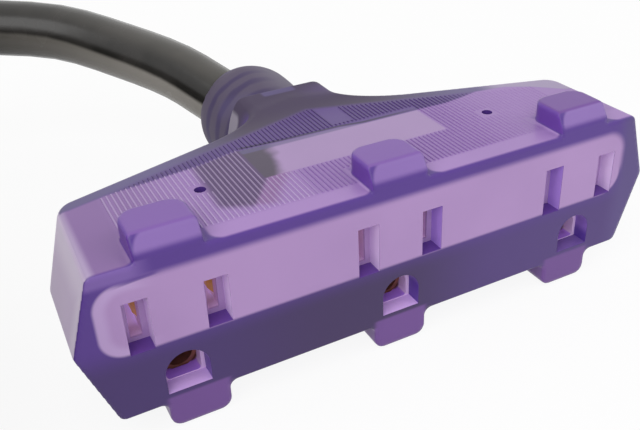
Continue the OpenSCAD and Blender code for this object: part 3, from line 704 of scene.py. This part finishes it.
@dataclass
class Sculptor:
    """Turns a distance field into a mesh whose sharp edges stay sharp."""

    cell: float = 0.5
    settle_steps: int = 12
    reach: float = 0.02
    stray: float = 0.75
    inset: float = 0.3

    def mesh(self, name: str, shape: Field, low: Point, high: Point, place: Point) -> bpy.types.Mesh:
        """Draws a field's surface.

        Args:
            name: Name of the mesh.
            shape: Distance field, in the drawing's own frame.
            low: Lowest corner of the space that it lies in.
            high: Highest corner.
            place: Where the drawing's origin lies in the row frame.

        Returns:
            The mesh, in metres in the row frame.
        """
        axes = [np.arange(low[k] - self.cell, high[k] + 2 * self.cell, self.cell) for k in range(3)]
        inside = shape(*np.meshgrid(*axes, indexing="ij", sparse=True)) < 0
        cells, quads = self._surface(inside)
        points = np.array([axis[0] for axis in axes]) + (cells + 0.5) * self.cell
        points = self._settle(points, shape)
        made = bpy.data.meshes.new(name)
        self._fill(made, (points + np.array(place)) * MM, quads)
        self._shade(made, points, quads, shape)
        return made

    @staticmethod
    def _surface(inside: Array) -> tuple[Array, Array]:
        """Finds the cells that the surface crosses and joins them in quads.

        Args:
            inside: Which grid points lie inside.

        Returns:
            The cells' indices and the quads between them.
        """
        count = sum(
            inside[i:i - 1 or None, j:j - 1 or None, k:k - 1 or None].astype(np.int8)
            for i in (0, 1) for j in (0, 1) for k in (0, 1)
        )
        crossed = (count > 0) & (count < 8)
        cells = np.argwhere(crossed)
        index = np.full(crossed.shape, -1, np.int64)
        index[tuple(cells.T)] = np.arange(len(cells))
        quads = []
        for axis in range(3):
            near, far = [slice(None)] * 3, [slice(None)] * 3
            near[axis], far[axis] = slice(0, -1), slice(1, None)
            edges = np.argwhere(inside[tuple(near)] != inside[tuple(far)])
            across, up = (axis + 1) % 3, (axis + 2) % 3
            edges = edges[(edges[:, across] > 0) & (edges[:, up] > 0)]
            turn = np.zeros((4, 3), np.int64)
            turn[1, across] = turn[2, across] = turn[2, up] = turn[3, up] = 1
            ring = np.stack([index[tuple((edges - shift).T)] for shift in turn], 1)
            inward = ~inside[tuple(edges.T)]
            ring[inward] = ring[inward][:, ::-1]
            quads.append(ring)
        return cells.astype(float), np.vstack(quads)

    def _slope(self, points: Array, shape: Field) -> tuple[Array, Array]:
        """The field's value and unit slope at points.

        Args:
            points: The points.
            shape: The field.

        Returns:
            The values and the slopes.
        """
        slope = np.empty_like(points)
        for axis in range(3):
            ahead, back = points.copy(), points.copy()
            ahead[:, axis] += self.reach
            back[:, axis] -= self.reach
            slope[:, axis] = shape(*ahead.T) - shape(*back.T)
        slope /= np.maximum(np.linalg.norm(slope, axis=1, keepdims=True), 1e-9)
        return shape(*points.T), slope

    def _settle(self, points: Array, shape: Field) -> Array:
        """Moves each cell's point onto the surface, and onto an edge where the cell holds one.

        Args:
            points: Middles of the cells.
            shape: The field.

        Returns:
            The settled points.
        """
        planes = []
        for corner in ((i, j, k) for i in (-1, 1) for j in (-1, 1) for k in (-1, 1)):
            probe = points + np.array(corner) * self.cell * 0.5
            for _ in range(2):
                value, slope = self._slope(probe, shape)
                probe = probe - slope * value[:, None]
            planes.append((probe, slope))
        settled = points.copy()
        for _ in range(self.settle_steps):
            pull = sum(
                slope * np.sum((probe - settled) * slope, axis=1, keepdims=True) for probe, slope in planes
            )
            settled += pull / len(planes)
        for _ in range(2):
            value, slope = self._slope(settled, shape)
            settled -= slope * np.clip(value, -self.cell, self.cell)[:, None]
        return np.clip(settled, points - self.cell * self.stray, points + self.cell * self.stray)

    @staticmethod
    def _fill(made: bpy.types.Mesh, verts: Array, quads: Array) -> None:
        """Puts vertices and quads into a mesh.

        Args:
            made: The mesh.
            verts: The vertices, in metres.
            quads: Four vertices' indices for each quad.
        """
        made.vertices.add(len(verts))
        made.vertices.foreach_set("co", verts.astype(np.float32).ravel())
        made.loops.add(quads.size)
        made.loops.foreach_set("vertex_index", quads.astype(np.int32).ravel())
        made.polygons.add(len(quads))
        made.polygons.foreach_set("loop_start", np.arange(0, quads.size, 4, dtype=np.int32))
        made.polygons.foreach_set("loop_total", np.full(len(quads), 4, np.int32))
        made.update(calc_edges=True)

    def _shade(self, made: bpy.types.Mesh, points: Array, quads: Array, shape: Field) -> None:
        """Gives each corner of each quad the field's slope a little inside that quad.

        Args:
            made: The mesh.
            points: Its points, in the drawing's own frame.
            quads: Its quads.
            shape: The field.
        """
        corners = points[quads]
        middle = corners.mean(axis=1, keepdims=True)
        _, slope = self._slope((corners + (middle - corners) * self.inset).reshape(-1, 3), shape)
        made.polygons.foreach_set("use_smooth", np.ones(len(quads), bool))
        made.normals_split_custom_set(slope.astype(np.float32))
        made.validate()


# Pieces


class Slot(Enum):
    """The record's material slots."""

    PURPLE_VINYL = "purple_vinyl"
    CORD_JACKET = "cord_jacket"


def add_piece(
    name: str, data: bpy.types.ID, material: Material, slot: Slot, nodes: Sequence[str] = ()
) -> bpy.types.Object:
    """Puts a mesh or curve into the scene as a piece of the cord.

    Args:
        name: Name of the piece.
        data: Its mesh or curve.
        material: Its material.
        slot: The material slot that its finish belongs to; not used.
        nodes: CAD nodes that it stands for.

    Returns:
        The new object.
    """
    piece = bpy.data.objects.new(name, data)
    bpy.context.scene.collection.objects.link(piece)
    data.materials.append(material)
    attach(piece, ROOT)
    if nodes:
        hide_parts(*nodes)
    LOG.info("%s: for %s", name, ", ".join(nodes) or "no node")
    return piece


def dress(finishes: Sequence[tuple[str, Finish]]) -> None:
    """Gives CAD nodes their materials, one for all the nodes with the same finish.

    Args:
        finishes: Each node's name and finish.
    """
    made: dict[Finish, Material] = {}
    for node, finish in finishes:
        if finish not in made:
            made[finish] = finish.material()
        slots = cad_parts[node].data.materials
        slots.clear()
        slots.append(made[finish])
        LOG.info("%s: %s", node, made[finish].name)


# The tap


@dataclass
class Tap:
    """The three-outlet tap: its overmould with lobes, grip ribs and bell."""

    half_w: float = 56.2
    end_taper: float = 0.7
    top_rise: float = 13.3
    bottom_drop: float = 14.5
    top_lean: float = 17.0
    bottom_lean: float = 18.5
    edge_r: float = 1.0
    front_edge_r: float = 0.5
    rear_corner_r: float = 6.5
    least_corner_r: float = 2.0
    shoulder_angle: float = 17.4
    shoulder_depth: float = 43.6
    neck_half_w: float = 12.6
    neck_flat: float = 7.6
    neck_depth: float = 50.0
    neck_fillet_r: float = 7.0
    front_wall: float = 3.3
    slot_spacing: float = 12.7
    blade_rise: float = 2.3
    ground_drop: float = 11.9
    window_w: float = 4.0
    window_heights: tuple[float, float] = (9.6, 8.9)
    ground_hole_r: float = 3.7
    hole_arch_rise: float = 0.8
    hole_floor_drop: float = 2.85
    hole_reach: float = 5.0
    top_lobe: tuple[float, float, float] = (5.4, 4.0, 9.5)
    top_lobe_corner_r: float = 3.0
    bottom_lobe: tuple[float, float, float] = (5.3, 5.5, 12.4)
    bottom_lobe_shift: float = 1.3
    lobe_reach: float = 20.0
    lobe_root: float = 4.0
    lobe_edge_r: float = 0.8
    foot_edge_r: float = 2.0
    lobe_fillets: tuple[float, float] = (0.6, 1.4)
    nose_h: float = 1.3
    nose_slope: tuple[float, float] = (0.576, 0.818)
    bell_r: float = 11.9
    bell_depth: float = 66.3
    bell_swell: float = 1.7
    bell_root: float = 6.0
    bell_edge_r: float = 0.5
    bell_fillet_r: float = 0.9
    exit_turn: float = 28.0
    exit_rise: float = 17.0
    exit_reach: float = 9.5
    cord_r: float = 6.9
    cord_seat: float = 2.0
    carrier_half: tuple[float, float] = (51.4, 6.5)
    carrier_rise: float = 0.5
    carrier_corner_r: float = 4.0
    tower_half: tuple[float, float] = (4.6, 4.0)
    pocket_depth: float = 6.0
    well_depth: float = 14.0
    label: tuple[float, float, float] = (18.6, 13.9, 26.0)
    holes: tuple[float, float, float] = (29.3, 16.0, 1.0)
    hole_depth: float = 1.5
    sculptor: Sculptor = field(default_factory=Sculptor)

    @property
    def exit_way(self) -> Array:
        """Unit direction in which the cord leaves the bell."""
        turn, rise = math.radians(self.exit_turn), math.radians(self.exit_rise)
        return np.array([-math.sin(turn) * math.cos(rise), math.cos(turn) * math.cos(rise), math.sin(rise)])

    @property
    def exit_point(self) -> Vector:
        """Point of the bell's face that the cord leaves, in the row frame."""
        centre = np.array([0.0, FRONT_Y + self.bell_depth, PARTING_Z])
        return Vector(centre + self.exit_way * self.exit_reach)

    @staticmethod
    def outlet(x: Array) -> Array:
        """The nearest outlet: -1 on the left, 0 in the middle and 1 on the right."""
        return np.clip(np.round(x / OUTLET_PITCH), -1, 1)

    def _walls(self, x: Array, y: Array, z: Array) -> Array:
        """Distance to the leaning ends, the shoulders and the neck, without top and bottom.

        Args:
            x: Place along the tap.
            y: Place behind the front face.
            z: Place above the parting plane.

        Returns:
            The distance.
        """
        wide = np.abs(x)
        leans = (math.tan(math.radians(angle)) for angle in (self.top_lean, self.bottom_lean))
        lean = np.where(z > 0, *leans)
        inset = np.abs(z) * lean
        angle = math.radians(self.shoulder_angle)
        upright = 1 / np.sqrt(1 + lean * lean)
        taper = self.end_taper / (self.shoulder_depth - math.tan(angle) * self.half_w)
        ends = (wide + inset + taper * y - self.half_w) * upright
        shoulders = ((y - self.shoulder_depth) * math.cos(angle) + wide * math.sin(angle) + inset) * upright
        body = round_both(ends, shoulders, np.maximum(self.rear_corner_r - inset, self.least_corner_r))
        rise = np.where(z > 0, self.top_rise, self.bottom_drop)
        reach = self.neck_half_w - self.neck_flat
        side = np.maximum(wide - self.neck_flat, 0) / reach
        tall = np.abs(z) / rise
        slope = np.sqrt((side / reach) ** 2 + (tall / rise) ** 2)
        neck = (side * side + tall * tall - 1) / (2 * np.maximum(slope, 1e-3))
        neck = round_both(neck, y - self.neck_depth, self.edge_r)
        return round_either(body, neck, self.neck_fillet_r)

    def _lobes(self, x: Array, y: Array, z: Array) -> Array:
        """Distance to the lobes above and below the outlets.

        Args:
            x: Place along the tap.
            y: Place behind the front face.
            z: Place above the parting plane.

        Returns:
            The distance.
        """
        half_top, top_h, top_depth = self.top_lobe
        half_low, low_h, low_depth = self.bottom_lobe
        reach, outlet = self.lobe_reach, self.outlet(x)
        near = x - OUTLET_PITCH * outlet
        plan = bar(near, y - top_depth + reach, half_top, reach, self.top_lobe_corner_r)
        crown = z - (self.top_rise + top_h)
        nose = (z - self.top_rise - self.nose_h) * self.nose_slope[0] - y * self.nose_slope[1]
        upper = round_both(round_both(plan, crown, self.lobe_edge_r), nose, self.front_edge_r)
        below = near + self.bottom_lobe_shift * outlet
        foot = bar(below, y - low_depth + reach, half_low, reach, self.lobe_edge_r)
        lower = round_both(foot, -z - self.bottom_drop - low_h + 2 * Ribs.height, self.foot_edge_r)
        return np.minimum(np.maximum(upper, self.lobe_root - z), np.maximum(lower, z + self.lobe_root))

    def _bell(self, x: Array, y: Array, z: Array) -> Array:
        """Distance to the bell behind the neck, cut square to the cord.

        Args:
            x: Place along the tap.
            y: Place behind the front face.
            z: Place above the parting plane.

        Returns:
            The distance.
        """
        behind = y - self.bell_depth
        swell = np.clip(-behind / (self.bell_depth - self.neck_depth), 0, 1)
        cone = np.hypot(x, z) - (self.bell_r - self.bell_swell * swell ** 2)
        cone = np.maximum(cone, self.neck_depth - self.bell_root - y)
        away = x * x + behind ** 2 + z * z
        dome = np.where(behind > 0, np.sqrt(away) - self.bell_r, cone)
        way = self.exit_way
        past = x * way[0] + behind * way[1] + z * way[2]
        face = round_both(dome, past - self.exit_reach, self.bell_edge_r)
        off = np.sqrt(np.maximum(away - past * past, 0))
        return np.maximum(face, -np.maximum(off - self.cord_r, self.cord_seat - past))

    def _openings(self, x: Array, y: Array, z: Array) -> Array:
        """Distance to the windows, the ground openings and the pocket of the core's front wall.

        Args:
            x: Place along the tap.
            y: Place behind the front face.
            z: Place above the parting plane.

        Returns:
            The distance.
        """
        near = x - OUTLET_PITCH * self.outlet(x)
        up = z - self.blade_rise
        left, right = (
            bar(near + side * self.slot_spacing / 2, up, self.window_w / 2, height / 2)
            for side, height in zip((1, -1), self.window_heights)
        )
        ground = up + self.ground_drop
        arched = ground - self.hole_arch_rise
        arch = np.hypot(near, arched) - self.ground_hole_r
        below = bar(near, arched + self.hole_reach, self.ground_hole_r, self.hole_reach)
        hole = np.maximum(np.minimum(arch, below), -self.hole_floor_drop - ground)
        front = np.maximum(np.minimum(np.minimum(left, right), hole), y - self.well_depth)
        plate = bar(x, up - self.carrier_rise, *self.carrier_half, self.carrier_corner_r)
        tower = bar(near, ground, *self.tower_half)
        half_depth = (self.pocket_depth - self.front_wall) / 2
        pocket = np.maximum(np.minimum(plate, tower), np.abs(y - self.front_wall - half_depth) - half_depth)
        return np.minimum(front, pocket)

    def shape(self, x: Array, y: Array, z: Array) -> Array:
        """Distance to the overmould.

        Args:
            x: Place along the tap.
            y: Place behind the front face.
            z: Place above the parting plane.

        Returns:
            The distance, negative inside.
        """
        flat = np.maximum(z - self.top_rise, -z - self.bottom_drop)
        body = round_both(self._walls(x, y, z), flat, self.edge_r)
        body = round_either(body, self._lobes(x, y, z), np.where(z > 0, *self.lobe_fillets))
        body = round_both(body, -y, self.front_edge_r)
        body = round_either(body, self._bell(x, y, z), self.bell_fillet_r)
        across, behind, r = self.holes
        pin = np.maximum(np.hypot(np.abs(x) - across, y - behind) - r, self.top_rise - self.hole_depth - z)
        return np.maximum(np.maximum(body, -pin), -self._openings(x, y, z))

    def build(self) -> None:
        """Draws the overmould and its ribs."""
        low = (-self.half_w, 0.0, -PARTING_Z)
        high = (self.half_w, self.bell_depth + self.bell_r, self.top_rise + self.top_lobe[1])
        mesh = self.sculptor.mesh("tap_shell", self.shape, low, high, (0.0, FRONT_Y, PARTING_Z))
        vinyl = ClearVinyl("clear_vinyl").material()
        add_piece("tap_shell", mesh, vinyl, Slot.PURPLE_VINYL, ["tap_overmould"])
        Ribs(self).build()


@dataclass
class Ribs:
    """The fine ribs of the grip areas on the tap's top face and under its lower lobes."""

    tap: Tap
    pitch: float = 0.87
    width: float = 0.42
    height: float = 0.16
    reach: float = 45.0
    front: float = 4.2
    rear_margin: float = 7.8
    gap: float = 0.6
    right_gap: float = 0.9
    plain_patch: tuple[float, float, float] = (1.0, 6.0, 27.0)
    fade: tuple[float, float, float] = (22.0, 10.0, 0.7)
    ramp: float = 0.3
    sunk: float = 0.15
    foot_ribs: int = 9
    foot_margins: tuple[float, float, float] = (0.5, 1.0, 0.1)
    verts: list[Point] = field(default_factory=list)
    faces: list[tuple[int, ...]] = field(default_factory=list)

    def _stretches(self, x: float) -> list[tuple[float, float]]:
        """Stretches of depth that a rib covers on the top face.

        Args:
            x: Place of the rib along the tap.

        Returns:
            Start and end of each stretch.
        """
        half_label, label_front, label_rear = self.tap.label
        half_lobe, _, lobe_depth = self.tap.top_lobe
        slope = math.tan(math.radians(self.tap.shoulder_angle))
        rear = self.tap.shoulder_depth - self.rear_margin - slope * abs(x)
        off = x - OUTLET_PITCH * float(self.tap.outlet(np.array(x)))
        by_lobe = -half_lobe - self.gap < off < half_lobe + self.right_gap
        front = lobe_depth + self.gap if by_lobe else self.front
        stretches = [(front, rear)]
        if abs(x) < half_label:
            stretches = [(front, label_front), (label_rear, rear)]
        across, behind, r = self.tap.holes
        if abs(abs(x) - across) < r + self.gap:
            stretches = [(front, behind - r - self.gap), (behind + r + self.gap, rear)]
        patch_left, patch_right, patch_rear = self.plain_patch
        if patch_left < x < patch_right:
            stretches = [(front, label_front), (label_rear, patch_rear)]
        return [(a, b) for a, b in stretches if b - a > self.gap]

    def _add(self, x: float, ends: tuple[float, float], foot: float, crest: float) -> None:
        """Adds a rib with sloping sides and ends.

        Args:
            x: Place of the rib along the tap.
            ends: Depths at which it starts and ends.
            foot: Height at which it leaves the face under it, a little inside.
            crest: Height of its edge.
        """
        at = len(self.verts)
        start, stop = ends
        for y, level in ((start, foot), (start + self.ramp, crest), (stop - self.ramp, crest), (stop, foot)):
            for across, z in ((-0.5, foot), (-0.25, level), (0.25, level), (0.5, foot)):
                self.verts.append((x + across * self.width, FRONT_Y + y, PARTING_Z + z))
        for ring in range(at, at + 12, 4):
            for j in range(4):
                p, q = ring + j, ring + (j + 1) % 4
                self.faces.append((q, p, p + 4, q + 4) if crest > foot else (p, q, q + 4, p + 4))

    def build(self) -> None:
        """Draws the ribs."""
        top = self.tap.top_rise
        start, stretch, share = self.fade
        count = int(self.reach / self.pitch)
        for x in (k * self.pitch for k in range(-count, count + 1)):
            crest = self.height * (1.0 - share * min(max((x - start) / stretch, 0.0), 1.0))
            for ends in self._stretches(x):
                self._add(x, ends, top - self.sunk, top + crest)
        _, low_h, low_depth = self.tap.bottom_lobe
        bottom = -self.tap.bottom_drop - low_h
        in_front, behind, above = self.foot_margins
        half = self.foot_ribs // 2
        for i in (-1, 0, 1):
            middle = i * (OUTLET_PITCH - self.tap.bottom_lobe_shift)
            for k in range(-half, half + 1):
                foot = bottom + self.height * 2 + above
                self._add(middle + k * self.pitch, (in_front, low_depth - behind), foot, bottom)
        mesh = bpy.data.meshes.new("tap_ribs")
        mesh.from_pydata([tuple(value * MM for value in vert) for vert in self.verts], [], self.faces)
        add_piece("tap_ribs", mesh, ClearVinyl("rib_vinyl", ribbed=True).material(), Slot.PURPLE_VINYL)


@dataclass
class Core:
    """What the overmould holds: the contact carrier, its cover, the contacts, leads, lamp and sleeve."""

    finishes: tuple[tuple[str, Finish], ...] = (
        ("contact_carrier", CorePlastic()),
        ("carrier_cover", CorePlastic()),
        # The contacts' brass glows faintly: painted light for them down in the slots.
        ("line_bus", Plain("contact_brass", "e0b25a", 0.35, 0.6, 0.08)),
        ("neutral_bus", Plain("contact_brass", "e0b25a", 0.35, 0.6, 0.08)),
        # The ground contact takes a darker copy of the brass: painted shade inside its tube.
        ("ground_bus", Plain("shaded_brass", "94604c", 0.5, 0.4)),
        ("line_lead", Plain("black_insulation", "242322")),
        ("neutral_lead", Plain("white_insulation", "dcd9d0")),
        ("ground_lead", Plain("green_insulation", "2f7a45")),
        ("neon_lamp", Plain("lamp_glass", "d9a274", 0.08)),
        ("lamp_resistor", Plain("resistor_body", "bfa27c", 0.45)),
        ("tap_strain_relief", Plain("relief_vinyl", "6c6382", 0.4)),
        ("jacket_end", CordJacket("jacket_end")),
    )

    def build(self) -> None:
        """Dresses the pieces."""
        dress(self.finishes)


# The cord


def weighted(a: Vector, b: Vector, start: float, end: float, at: float) -> Vector:
    """The point between a, reached at start, and b, reached at end."""
    return a * ((end - at) / (end - start)) + b * ((at - start) / (end - start))


def between(a: Vector, b: Vector, c: Vector, d: Vector, share: float) -> Vector:
    """A point of the smooth curve through four points, which keeps close to its chords.

    Args:
        a: Point before the stretch.
        b: Start of the stretch.
        c: End of the stretch.
        d: Point after it.
        share: How far along the stretch, from 0 to 1.

    Returns:
        The point.
    """
    first = (b - a).length ** 0.5
    second = first + (c - b).length ** 0.5
    third = second + (d - c).length ** 0.5
    at = first + (second - first) * share
    ab = weighted(a, b, 0.0, first, at)
    bc = weighted(b, c, first, second, at)
    cd = weighted(c, d, second, third, at)
    return weighted(weighted(ab, bc, 0.0, second, at), weighted(bc, cd, first, third, at), first, second, at)


@dataclass
class Cord:
    """The round cord: free from the tap's bell, then a coil, then free again to the plug."""

    start: Vector
    way: Array
    diameter: float = 13.8
    run: tuple[Point, ...] = (
        (-20, 61, 30), (-32.5, 74, 33.5), (-52, 83, 36), (-72, 86.5, 39.5), (-92, 87, 43), (-112, 87, 46),
        (-132, 87, 48.5),
    )
    tail: tuple[Point, ...] = ((-190, -120, 8.5), (-173, -124, 12.3))
    tail_end: Point = (-142, -124.5, 14)
    coil_x: float = -179.5
    coil_y: float = -13.0
    coil_r: float = 100.0
    coil_pitch: float = 14.3
    layer_turns: float = 2.875
    layers: int = 4
    climb_turns: float = 0.25
    turn_points: int = 24
    short_points: int = 2
    smooth_steps: int = 3
    sides: int = 32

    @property
    def coil_top(self) -> float:
        """Height of the coil's highest turns."""
        return self.diameter / 2 + self.coil_pitch * (self.layers - 1)

    def _coil_point(self, turns: float) -> Vector:
        """Point of the coil's centreline.

        Args:
            turns: How many turns lie before it.

        Returns:
            The point.
        """
        layer = min(self.layers - 1, math.floor(turns / self.layer_turns))
        part = turns / self.layer_turns - layer
        share = 1 - part if layer % 2 else part
        radius = self.coil_r - share * self.coil_pitch * self.layer_turns
        near = round(turns / self.layer_turns)
        off = turns - near * self.layer_turns
        climb = float(layer)
        if 0 < near < self.layers and abs(off) < self.climb_turns:
            climb = near - 0.5 + (off / self.climb_turns + math.sin(off * 2 * math.pi)) / 4
        angle = math.radians(90) + 2 * math.pi * turns
        return Vector((
            self.coil_x + radius * math.cos(angle), self.coil_y + radius * math.sin(angle),
            self.coil_top - climb * self.coil_pitch,
        ))

    def route(self) -> list[Vector]:
        """Strings together the free run, the coil and the free tail.

        Returns:
            The points that the cord's centreline passes.
        """
        forward = Vector((self.diameter, 0, 0))
        coil_start = Vector((self.coil_x, self.coil_y + self.coil_r, self.coil_top)) + forward
        count = round(self.layer_turns * self.layers * self.turn_points) - self.short_points
        coil = [self._coil_point(k / self.turn_points) for k in range(count + 1)]
        leave = (coil[-1] - self._coil_point(count / self.turn_points - 0.01)).normalized() * self.diameter
        tail_end = Vector(self.tail_end)
        return [
            self.start, self.start + Vector(self.way) * self.diameter, *map(Vector, self.run),
            coil_start + forward, coil_start, *coil, coil[-1] + leave, coil[-1] + 2 * leave,
            *map(Vector, self.tail), tail_end - forward, tail_end,
        ]

    def centreline(self) -> list[Vector]:
        """Draws the route as a smooth curve through its points.

        Returns:
            The curve's points, in metres.
        """
        route = self.route()
        padded = [2 * route[0] - route[1], *route, 2 * route[-1] - route[-2]]
        line = []
        for stretch in zip(padded, padded[1:], padded[2:], padded[3:]):
            line += [between(*stretch, step / self.smooth_steps) * MM for step in range(self.smooth_steps)]
        return [*line, route[-1] * MM]

    def build(self, on_cord: Sequence[str]) -> None:
        """Args:
            on_cord: The pieces that go with the cord; not used.
        """
        line = self.centreline()
        curve = bpy.data.curves.new("cord", "CURVE")
        curve.dimensions = "3D"
        spline = curve.splines.new("POLY")
        spline.points.add(len(line) - 1)
        for point, place in zip(spline.points, line):
            point.co = (*place, 1.0)
        spline.use_smooth = True
        curve.bevel_depth = self.diameter / 2 * MM
        curve.bevel_resolution = self.sides // 4 - 1
        nodes = ["cord_run", "cord_coil", "cord_tail"]
        piece = add_piece("cord", curve, CordJacket("cord_jacket").material(), Slot.CORD_JACKET, nodes)
        length = sum((b - a).length for a, b in zip(line, line[1:]))
        LOG.info("cord: %.3f m along %d points", length, len(line))


@dataclass
class Plug:
    """The plug at the cord's far end: its grip with the ribbed relief, core, blades, pin and leads."""

    finishes: tuple[tuple[str, Finish], ...] = (
        ("plug_overmould", Plain("plug_vinyl", "7d62a8", 0.4)),
        ("plug_core", Plain("plug_core_plastic", "b9a2cf", 0.4)),
        ("line_blade", Plain("blade_brass", "cfa65a", 0.25, 1.0)),
        ("neutral_blade", Plain("blade_brass", "cfa65a", 0.25, 1.0)),
        ("ground_pin", Plain("blade_brass", "cfa65a", 0.25, 1.0)),
        ("plug_line_lead", Plain("plug_black", "242322")),
        ("plug_neutral_lead", Plain("plug_white", "dcd9d0")),
        ("plug_ground_lead", Plain("plug_green", "2f7a45")),
        ("plug_jacket_end", CordJacket("plug_jacket")),
    )

    def build(self) -> list[str]:
        """Dresses the plug and names the pieces that go with the cord."""
        dress(self.finishes)
        return [node for node, _ in self.finishes]


# The studio


@dataclass
class Studio:
    """The floor, the backdrop, the soft lamps and the camera."""

    camera_place: Point = (-63.07, -140.28, 99.76)
    camera_turns: tuple[float, float, float] = (-27.17, 59.87, -2.07)
    lens: float = 46.45
    sensor: float = 36.0
    shift: tuple[float, float] = (-0.0346, -0.0231)
    world_level: float = 0.62
    floor_half_m: float = 3.0
    shadow_share: float = 0.1

    def camera(self) -> None:
        """Sets up the camera."""
        data = bpy.data.cameras.new("camera")
        data.lens, data.sensor_width = self.lens, self.sensor
        data.shift_x, data.shift_y = self.shift
        data.clip_start, data.clip_end = 0.01, 50.0
        camera = bpy.data.objects.new("camera", data)
        turn, tilt, roll = (
            Matrix.Rotation(math.radians(angle), 4, axis) for angle, axis in zip(self.camera_turns, "ZXZ")
        )
        camera.matrix_world = Matrix.Translation(Vector(self.camera_place) * MM) @ turn @ tilt @ roll
        bpy.context.scene.collection.objects.link(camera)
        bpy.context.scene.camera = camera

    @staticmethod
    def _white_where_seen(bench: Bench, lit: bpy.types.Node, white: str, share: float) -> bpy.types.Node:
        """Mixes in white for rays from the camera or by way of metal or glass, and none for light.

        Args:
            bench: Bench of a material or world.
            lit: The shader that light meets.
            white: Type of the white shader.
            share: How much white a seen ray gets.

        Returns:
            The node that mixes the two.
        """
        rays = bench.node("ShaderNodeLightPath").outputs
        camera, glossy, through = (
            Reading(bench, rays[f"Is {kind} Ray"]) for kind in ("Camera", "Glossy", "Transmission")
        )
        seen = bench.node(white, inputs={"Color": (1.0, 1.0, 1.0), "Strength": 1.0})
        return bench.node("ShaderNodeMixShader", inputs={
            0: camera.most(glossy).most(through) * share, 1: lit.outputs[0], 2: seen.outputs[0],
        })

    def world(self) -> None:
        """Sets up the world: white where it is seen, and softer as a light."""
        world = bpy.data.worlds.new("backdrop")
        bpy.context.scene.world = world
        bench = Bench(world)
        bench.tree.nodes.clear()
        kind = "ShaderNodeBackground"
        light = bench.node(kind, inputs={"Color": (1.0, 1.0, 1.0), "Strength": self.world_level})
        mix = self._white_where_seen(bench, light, kind, 1.0)
        bench.node("ShaderNodeOutputWorld", inputs={"Surface": mix.outputs[0]})

    def floor(self) -> None:
        """Lays the pale floor, which is white where it is seen and keeps the shadow."""
        half = self.floor_half_m
        corners = [(-half, -half, 0), (half, -half, 0), (half, half, 0), (-half, half, 0)]
        mesh = bpy.data.meshes.new("floor")
        mesh.from_pydata(corners, [], [(0, 1, 2, 3)])
        floor = bpy.data.objects.new("floor", mesh)
        bpy.context.scene.collection.objects.link(floor)
        bench = Bench.material("floor_paper")
        colour = bench.paint(HUE.paper, (HUE.paper_fleck, bench.noise(60.0)))
        mesh.materials.append(bench.set(Base_Color=colour, Roughness=0.9))
        mix = self._white_where_seen(bench, bench.shader, "ShaderNodeEmission", 1 - self.shadow_share)
        bench.feed(bench.tree.nodes["Material Output"].inputs["Surface"], mix.outputs[0])

    @staticmethod
    def lamp(name: str, place_m: Point, side_m: float, watts: float) -> None:
        """Hangs a soft square lamp that faces the origin.

        Args:
            name: Name of the lamp.
            place_m: Where it hangs.
            side_m: Side of its face.
            watts: Its power.
        """
        data = bpy.data.lights.new(name, "AREA")
        data.size, data.energy = side_m, watts
        lamp = bpy.data.objects.new(name, data)
        lamp.location = place_m
        lamp.rotation_euler = (-Vector(place_m)).to_track_quat("-Z", "Y").to_euler()
        bpy.context.scene.collection.objects.link(lamp)

    def build(self) -> None:
        """Sets up the studio."""
        self.camera()
        self.world()
        self.floor()
        self.lamp("key_lamp", (-0.6, -0.55, 0.75), 1.0, 6.5)
        self.lamp("fill_lamp", (0.8, -0.4, 0.6), 0.8, 1.5)
        bpy.context.scene.view_settings.view_transform = "Standard"


def main() -> None:
    """Builds the extension cord and its studio."""
    logging.basicConfig(level=logging.INFO, format="%(name)s: %(message)s")
    Studio().build()
    tap = Tap()
    tap.build()
    Core().build()
    on_cord = Plug().build()
    Cord(tap.exit_point, tap.exit_way).build(on_cord)


if __name__ == "__main__":
    main()
